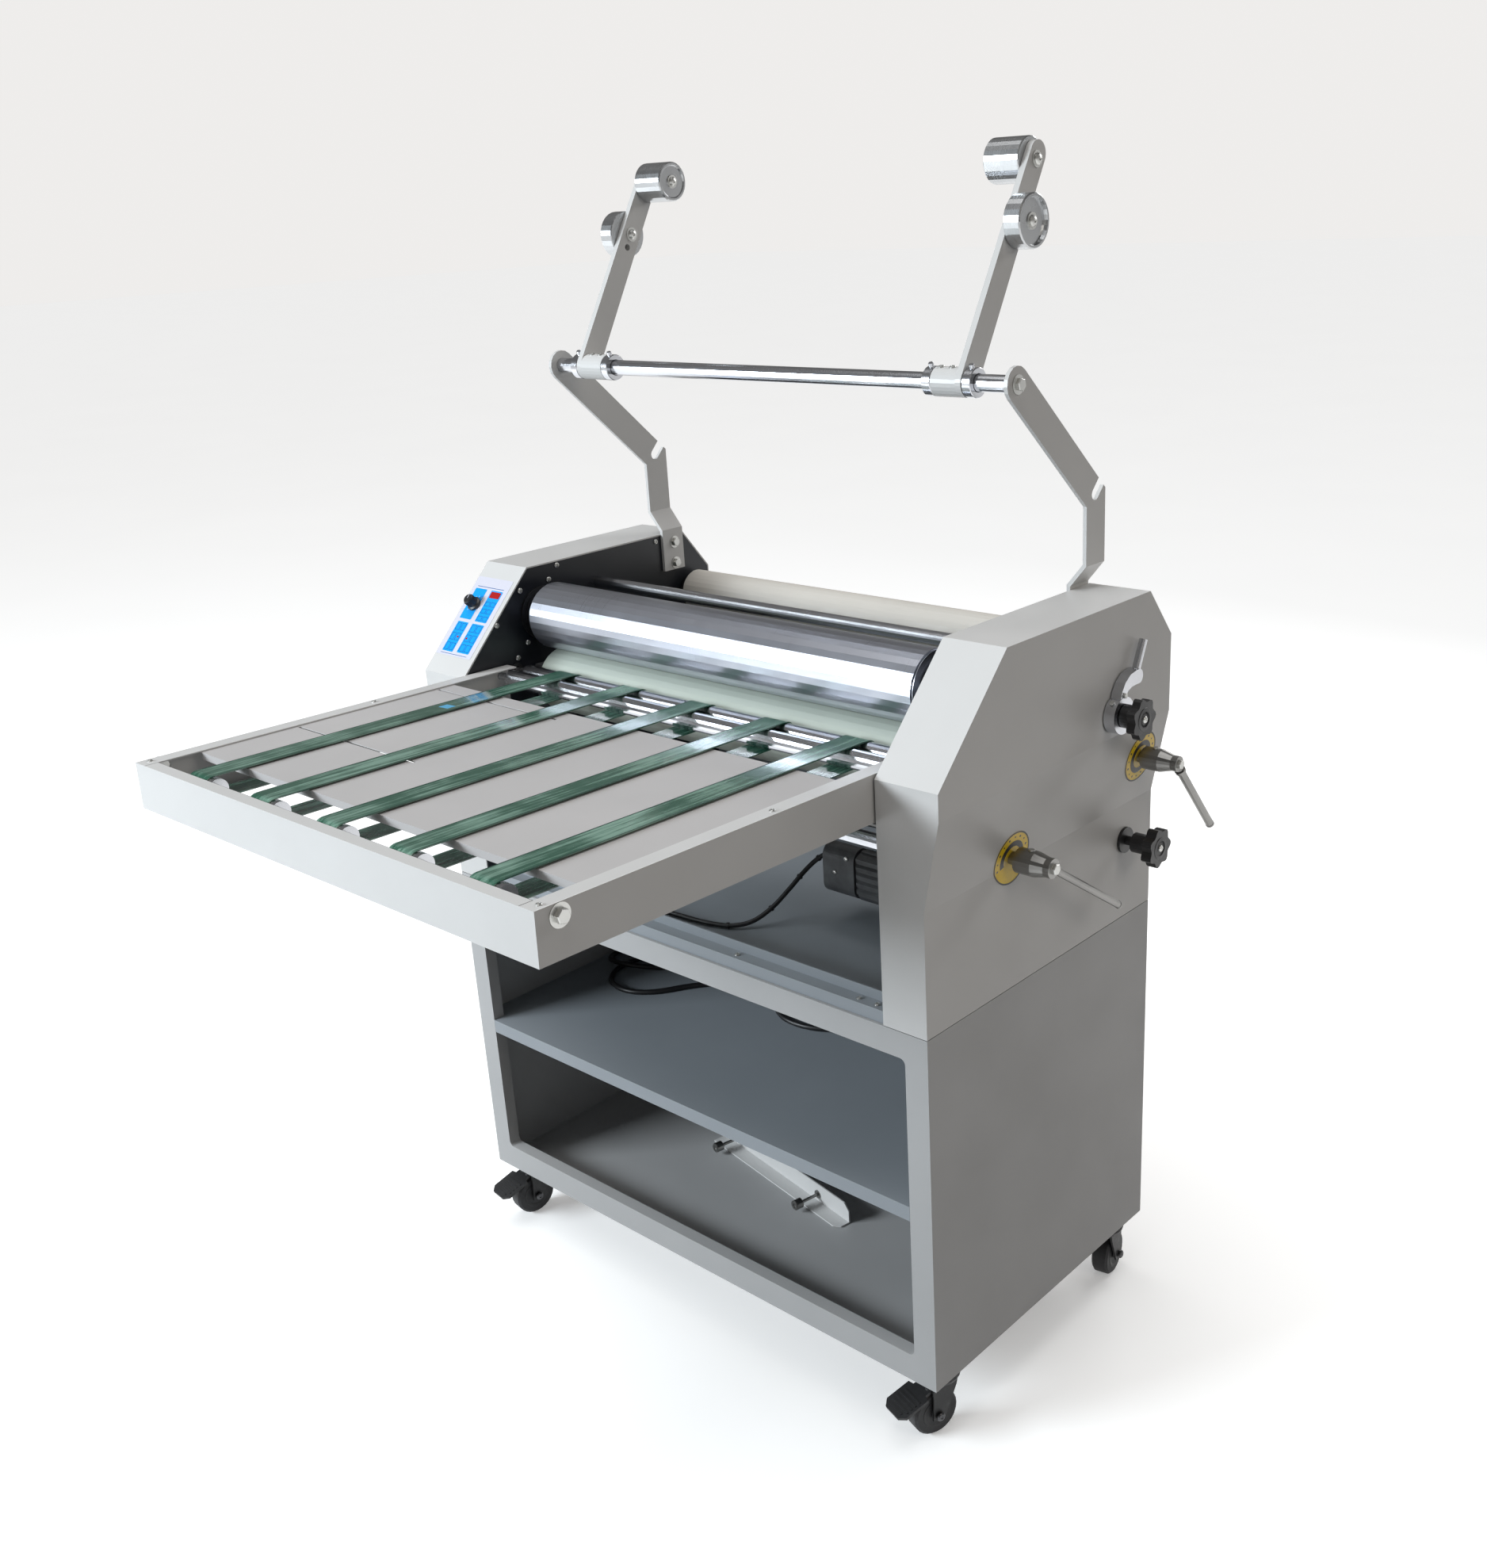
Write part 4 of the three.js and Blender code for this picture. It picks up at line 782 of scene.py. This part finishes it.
def belt_details():
    """Darker sealed edges of each belt, the slanted joint of the middle one and a patch of tape."""
    def build(made):
        for i in range(BELT_COUNT):
            for toward in (-1, 1):
                edge = toward * (BELT_WIDTH / 2 - 0.8)
                origin = at(*on_table(belt_x(i) + edge, -436, BELT_TOP))
                add_prism(made, rectangle(-0.8, 0.8, 0, 520), origin, X_AXIS, TABLE_ALONG, 0.08)
    piece("belt_edges", build, BELT_EDGE, FRAME_BODY)

    def joint(made):
        origin = at(*on_table(belt_x(2), -205, BELT_TOP))
        add_prism(made, [(-17, 0), (17, 62), (17, 64), (-17, 2)], origin, X_AXIS, TABLE_ALONG, 0.1)
    piece("belt_joint", joint, BELT_PALE, FRAME_BODY)

    def tape(made):
        origin = at(*on_table(belt_x(0) + 2, -118, BELT_TOP))
        add_prism(made, [(-8, 0), (8, 2), (8, 15), (-8, 13)], origin, X_AXIS, TABLE_ALONG, 0.12)
    piece("belt_tape", tape, TAPE, FRAME_BODY)


belt_details()

# ---------------------------------------------------------------- side plates, rollers and carriers
PLATE_IN = 363.6
# Bolt places on the plates, as (Y, Z).
PLATE_BOLTS = [
    (181, 1005), (164, 988), (112, 982), (66, 942), (116, 907), (96, 889), (373, 1004), (40, 800),
    (225, 855), (330, 905), (20, 650), (300, 640), (440, 700),
]
PLATE_BOLT_R = 3.9


def bearing(made, y, z, r, x, toward):
    """A flanged bearing seen at a shaft end: a wide ring with a raised one on it."""
    add_ring(made, at(x, y, z), (toward, 0, 0), r * 1.9, r + 0.8, 2.5, 40)
    add_ring(made, at(x + toward * 2.5, y, z), (toward, 0, 0), r * 1.55, r + 0.8, 1.0, 40)


def plate_details(side, toward):
    """Bearings and bolts on the inner face of a side plate."""
    inner = toward * PLATE_IN

    def rings(made):
        for y, z, r in ((*MAIN_ROLLER, 20), (*PULL_ROLLER, 12), (*BELT_ROLLER, 6)):
            bearing(made, y, z, r, inner, -toward)
    piece(f"{side}_bearings", rings, DARK_STEEL, FRAME_BODY)
    places = [((inner, y, z), (-toward, 0, 0)) for y, z in PLATE_BOLTS]
    bolts(f"{side}_plate_bolts", FRAME_BODY, places, BUTTON_HEAD, PLATE_BOLT_R)


plate_details("left", -1)
plate_details("right", 1)


def roller_end_caps():
    """Chamfered end rings and plain collars on the main roller."""
    profile = [
        [0, 20.3], [0, 43], [1.5, 44.4], [2.2, 44.4], [2.2, 36], [0.9, 34], [0.9, 20.3], [0, 20.3],
    ]

    def build(made):
        for toward in (-1, 1):
            add_turned(made, profile, at(toward * 335.2, *MAIN_ROLLER), (toward, 0, 0), 64)
            add_ring(made, at(toward * 338, *MAIN_ROLLER), (toward, 0, 0), 29, 20.3, 12, 48)
    piece("main_roller_ends", build, ROLLER_CHROME, "main_roller")


roller_end_caps()

# ---------------------------------------------------------------- levers and star knobs
bolts("front_lever_set_screw", "front_pressure_lever", [((458, 162, 764.5), Z_AXIS)], HEX_HEAD, 4.2)
bolts("front_lever_end_bolt", "front_pressure_lever", [((488, *FRONT_LEVER), X_AXIS)], HEX_HEAD, 7.0)
bolts("rear_lever_set_screw", "rear_pressure_lever", [((462, 429, 813.3), Z_AXIS)], HEX_HEAD, 4.2)
bolts("rear_lever_end_bolt", "rear_pressure_lever", [((495, *REAR_LEVER), X_AXIS)], HEX_HEAD, 6.0)
bolts("decurl_lever_bolts", "decurl_lever", [
    ((466, 345, 905), X_AXIS), ((458.7, 330, 897.5), (0, -0.65, 0.76))], HEX_HEAD, 3.6)


def lever_tip(name, body, y, z, x, lift, length, tilt, r):
    """Rounded cap on the end of a handle rod, and a collar near the hub."""
    t = math.radians(tilt)
    along = Vector((0, math.cos(t), math.sin(t)))
    root = at(x, y, z + lift)
    cap = [[-1.5, 0], [-1.5, r + 0.25], [1.2, r + 0.25], [2.4, r - 1], [3, r - 2.6], [3, 0]]

    def build(made):
        add_turned(made, cap, root + along * length * MM, along, 24)
        add_ring(made, root + along * 13 * MM, along, r + 1.6, r + 0.05, 4.5, 24)
    piece(name, build, STEEL, body)


lever_tip("front_lever_tip", "front_pressure_lever", *FRONT_LEVER, 476, 2.5, 194, -34, 4.8)
lever_tip("rear_lever_tip", "rear_pressure_lever", *REAR_LEVER, 491, 0, 143, -49.8, 5.4)


def star_cap(name, body, y, z, face_x, r):
    """Moulded boss, a recess ring and a screw in the middle of a star knob's face."""
    shares = ((0, 0.62), (0.6, 0.6), (0.9, 0.42), (-0.1, 0.4), (-0.1, 0.28), (0, 0.28), (0, 0.62))
    profile = [[station, r * share] for station, share in shares]

    def build(made):
        add_turned(made, profile, at(face_x, y, z), X_AXIS, 40)
    piece(f"{name}_boss", build, PLASTIC, body)
    bolts(f"{name}_screw", body, [((face_x, y, z), X_AXIS)], PAN_HEAD, 4.4)


star_cap("upper_knob", "upper_star_knob", 345, 880, 494, 23.3)
star_cap("lower_knob", "lower_star_knob", 415, 689, 480, 23.5)

# ---------------------------------------------------------------- motor, base pan and cable ties
MOTOR_Y, MOTOR_Z = 210, 661
VENT_COUNT = 5


def four_places(x, half_y, half_z):
    """Bolt places at the corners of a rectangle round the motor's axis, facing left."""
    return [
        ((x, MOTOR_Y + sy * half_y, MOTOR_Z + sz * half_z), (-1, 0, 0))
        for sy in (-1, 1) for sz in (-1, 1)
    ]


bolts("motor_cover_screws", FRAME_BODY, four_places(128, 31, 25), PAN_HEAD, 3.2)
bolts("motor_front_screws", FRAME_BODY, [
    ((148, 170, MOTOR_Z), (0, -1, 0)), ((168, 170, MOTOR_Z + 23), (0, -1, 0))], PAN_HEAD, 3.2)
bolts("gearbox_bolts", FRAME_BODY, four_places(354.2, 40, 34), HEX_HEAD, 4.2)
bolts("pan_screws", FRAME_BODY, [
    ((x, 13, 597.4), Z_AXIS) for x in (-335, -120, 120, 318, 345)], PAN_HEAD, 4.0)


def painted_vent_shade():
    """Vent slots on the motor cover, drawn as dark ink strips: painted shade standing in for the openings.
    """
    def vents(made):
        for i in range(VENT_COUNT):
            centre = at(127.9, MOTOR_Y, MOTOR_Z - 16 + 8 * i)
            add_prism(made, rounded(-13, 13, -1.1, 1.1, 1.0), centre, (0, -1, 0), Z_AXIS, 0.4)
    piece("painted_vent_shade", vents, INK, FRAME_BODY)


painted_vent_shade()


def cable_ties():
    """Narrow ties round the motor cable."""
    line = along_route(MOTOR_CABLE)
    profile = [[-1.6, 3.3], [-1.6, 4.3], [1.6, 4.3], [1.6, 3.3], [-1.6, 3.3]]

    def build(made):
        for share in (0.16, 0.27, 0.38, 0.52, 0.68, 0.84):
            i = int(share * (len(line) - 2))
            add_turned(made, profile, at(*line[i]), line[i + 1] - line[i], 20)
    piece("cable_ties", build, PLASTIC, FRAME_BODY)


cable_ties()

# ---------------------------------------------------------------- thumb screws on the loose side guide
GUIDE_TURN = math.radians(-11)
GUIDE_AT = (-190, 236, 98.3)
THUMB_SCREW = [
    [0, 0], [0, 2.4], [30, 2.4], [30, 6.5], [31, 7.5], [42, 7.5], [43, 6.8], [43, 3], [42, 2.6], [42, 0],
]


def on_guide(u, v, z):
    """A point drawn on the side guide, turned with it in its bay."""
    c, s = math.cos(GUIDE_TURN), math.sin(GUIDE_TURN)
    return (GUIDE_AT[0] + u * c - v * s, GUIDE_AT[1] + u * s + v * c, GUIDE_AT[2] + z)


def guide_screws():
    """Two thumb screws through the side guide, each with a washer."""
    forward = Vector((math.sin(GUIDE_TURN), -math.cos(GUIDE_TURN), 0))

    def build(made):
        for u in (35, 238):
            start = at(*on_guide(u, 21.5, 13))
            add_turned(made, THUMB_SCREW, start, forward, 24)
            add_ring(made, at(*on_guide(u, 21.9, 13)), forward, 6.5, 2.5, 1.2, 24)
    piece("guide_thumb_screws", build, STEEL, FRAME_BODY)


guide_screws()

# ---------------------------------------------------------------- casters
CASTER_X, CASTER_FRONT, CASTER_REAR = 396, 46, 434
TRAIL, WHEEL_R, WHEEL_HALF, LEG_FACE = 13, 32, 12, 20.6
WHEEL_DISC = [
    [-0.5, 4.6], [-0.5, 21], [0.6, 20.4], [0.6, 17], [-0.2, 15.5],
    [-0.2, 8], [1.6, 7.4], [1.6, 4.6], [-0.5, 4.6],
]
TREAD = [[-6.5, 31.2], [-6, 31.99], [6, 31.99], [6.5, 31.2], [-6.5, 31.2]]
# Each caster's X, Y and heading in degrees.
CASTERS = {
    "front_left": (-CASTER_X, CASTER_FRONT, -98), "front_right": (CASTER_X, CASTER_FRONT, -108),
    "rear_left": (-CASTER_X, CASTER_REAR, 80), "rear_right": (CASTER_X, CASTER_REAR, 100),
}


def heading_axes(degrees):
    """The way that a caster points, and the direction across it."""
    t = math.radians(degrees)
    return Vector((math.cos(t), math.sin(t), 0)), Vector((-math.sin(t), math.cos(t), 0))


def caster_details(name, x, y, heading):
    """Wheel discs, tread band, axle caps and top plate of one caster."""
    along, across = heading_axes(heading)
    axle = at(x, y, WHEEL_R) + along * TRAIL * MM

    def hubs(made):
        for side in (-1, 1):
            out = across * side
            face = axle + out * WHEEL_HALF * MM
            add_turned(made, WHEEL_DISC, face, out, 36)
    piece(f"{name}_wheel_hubs", hubs, CASTER, f"{name}_caster_wheel")

    def tread(made):
        add_turned(made, TREAD, axle, across, 48)
    piece(f"{name}_tread_band", tread, TYRE, f"{name}_caster_wheel")

    def caps(made):
        for side in (-1, 1):
            out = across * side
            add_bolt(made, PAN_HEAD, 6.0, axle + out * LEG_FACE * MM, out)
    piece(f"{name}_axle_caps", caps, DARK_STEEL, f"{name}_caster")

    def plate(made):
        add_prism(made, rounded(-22, 22, -22, 22, 5), at(x, y, 91.9), along, across, 2.9)
    piece(f"{name}_top_plate", plate, DARK_STEEL, FRAME_BODY, 0.4)


for caster_name, (cx, cy, turn) in CASTERS.items():
    caster_details(caster_name, cx, cy, turn)

PEDAL_HINGE, PEDAL_Z, PEDAL_DROP = 8, 73, math.radians(18.4)


def pedal_ribs(name, x, y, heading):
    """Raised tread bars across a brake pedal and a smooth stud on each side."""
    along, across = heading_axes(heading)
    down = along * math.cos(PEDAL_DROP) - Z_AXIS * math.sin(PEDAL_DROP)
    up = down.cross(across)
    base = at(x, y, PEDAL_Z) + along * PEDAL_HINGE * MM + up * 2 * MM

    def build(made):
        for i in range(5):
            start = 34 + 6.4 * i
            half = 18 if i < 4 else 13
            add_prism(made, rounded(start, start + 2.6, -half, half, 1.2, 3), base, down, across, 1.0)
        stud = [[0, 0], [0, 4.2], [1.2, 3.6], [2, 2], [2, 0]]
        for side in (-1, 1):
            add_turned(made, stud, base + (down * 14 + across * side * 7) * MM, up, 20)
    piece(f"{name}_pedal_ribs", build, CASTER, f"{name}_brake_pedal")


for caster_name in BRAKED_PLACES:
    pedal_ribs(caster_name, *CASTERS[caster_name])

# ---------------------------------------------------------------- floor and light
FLOOR_HALF, FLOOR_GLOW = 40, 0.3


def make_floor():
    mesh = bpy.data.meshes.new("floor")
    outline = rectangle(-FLOOR_HALF, FLOOR_HALF, -FLOOR_HALF, FLOOR_HALF)
    mesh.from_pydata([(x, y, 0) for x, y in outline], [], [(0, 1, 2, 3)])
    m = Maker("floor")
    pale = m.mix(m.noise(1.3, 4), rgba((0.90, 0.90, 0.895)), rgba((0.94, 0.94, 0.935)))
    m.set(Base_Color=pale, Roughness=0.8)
    m.set(Emission_Color=rgba((1, 1, 1)), Emission_Strength=FLOOR_GLOW)
    mesh.materials.append(m.material)
    floor = bpy.data.objects.new("floor", mesh)
    bpy.context.scene.collection.objects.link(floor)
    floor.visible_diffuse = False


def area_light(name, place, aim, size, power, colour=(1, 1, 1)):
    data = bpy.data.lights.new(name, "AREA")
    data.shape = "RECTANGLE"
    data.size, data.size_y = size
    data.energy = power
    data.color = colour
    light = bpy.data.objects.new(name, data)
    light.location = place
    light.rotation_mode = "QUATERNION"
    light.rotation_quaternion = (Vector(aim) - Vector(place)).to_track_quat("-Z", "Y")
    bpy.context.scene.collection.objects.link(light)


# The backdrop is brighter to the camera than the light that it gives.
SURROUND_LEVEL, BACKDROP_LEVEL = 0.16, 0.86
OVERHEAD_LEVEL, OVERHEAD_SPREAD = 1.5, math.radians(50)
OVERHEAD_WAY = Vector((0.3, 0.3, -2.0))


def make_light():
    world = bpy.data.worlds.new("studio")
    world.use_nodes = True
    background = world.node_tree.nodes["Background"]
    background.inputs["Color"].default_value = (1.0, 0.985, 0.97, 1)
    links = world.node_tree.links
    path = world.node_tree.nodes.new("ShaderNodeLightPath")
    level = world.node_tree.nodes.new("ShaderNodeMapRange")
    level.inputs["To Min"].default_value = SURROUND_LEVEL
    level.inputs["To Max"].default_value = BACKDROP_LEVEL
    links.new(path.outputs["Is Camera Ray"], level.inputs["Value"])
    links.new(level.outputs["Result"], background.inputs["Strength"])
    bpy.context.scene.world = world
    bpy.context.scene.view_settings.view_transform = "Standard"
    overhead = bpy.data.lights.new("overhead", "SUN")
    overhead.energy = OVERHEAD_LEVEL
    overhead.angle = OVERHEAD_SPREAD
    sun = bpy.data.objects.new("overhead", overhead)
    sun.rotation_mode = "QUATERNION"
    sun.rotation_quaternion = OVERHEAD_WAY.to_track_quat("-Z", "Y")
    bpy.context.scene.collection.objects.link(sun)
    area_light("front_window", (-2.4, -3.6, 2.2), (0, 0, 0.7), (2.2, 1.2), 230, (0.86, 0.94, 1.0))
    area_light("rear_strip", (0.4, 3.2, 2.2), (0, 0, 1.0), (3.0, 0.7), 40)
    area_light("right_window", (4.0, -0.2, 3.0), (0, 0.2, 1.9), (1.2, 2.0), 22, (1.0, 0.93, 0.84))


make_floor()
make_light()
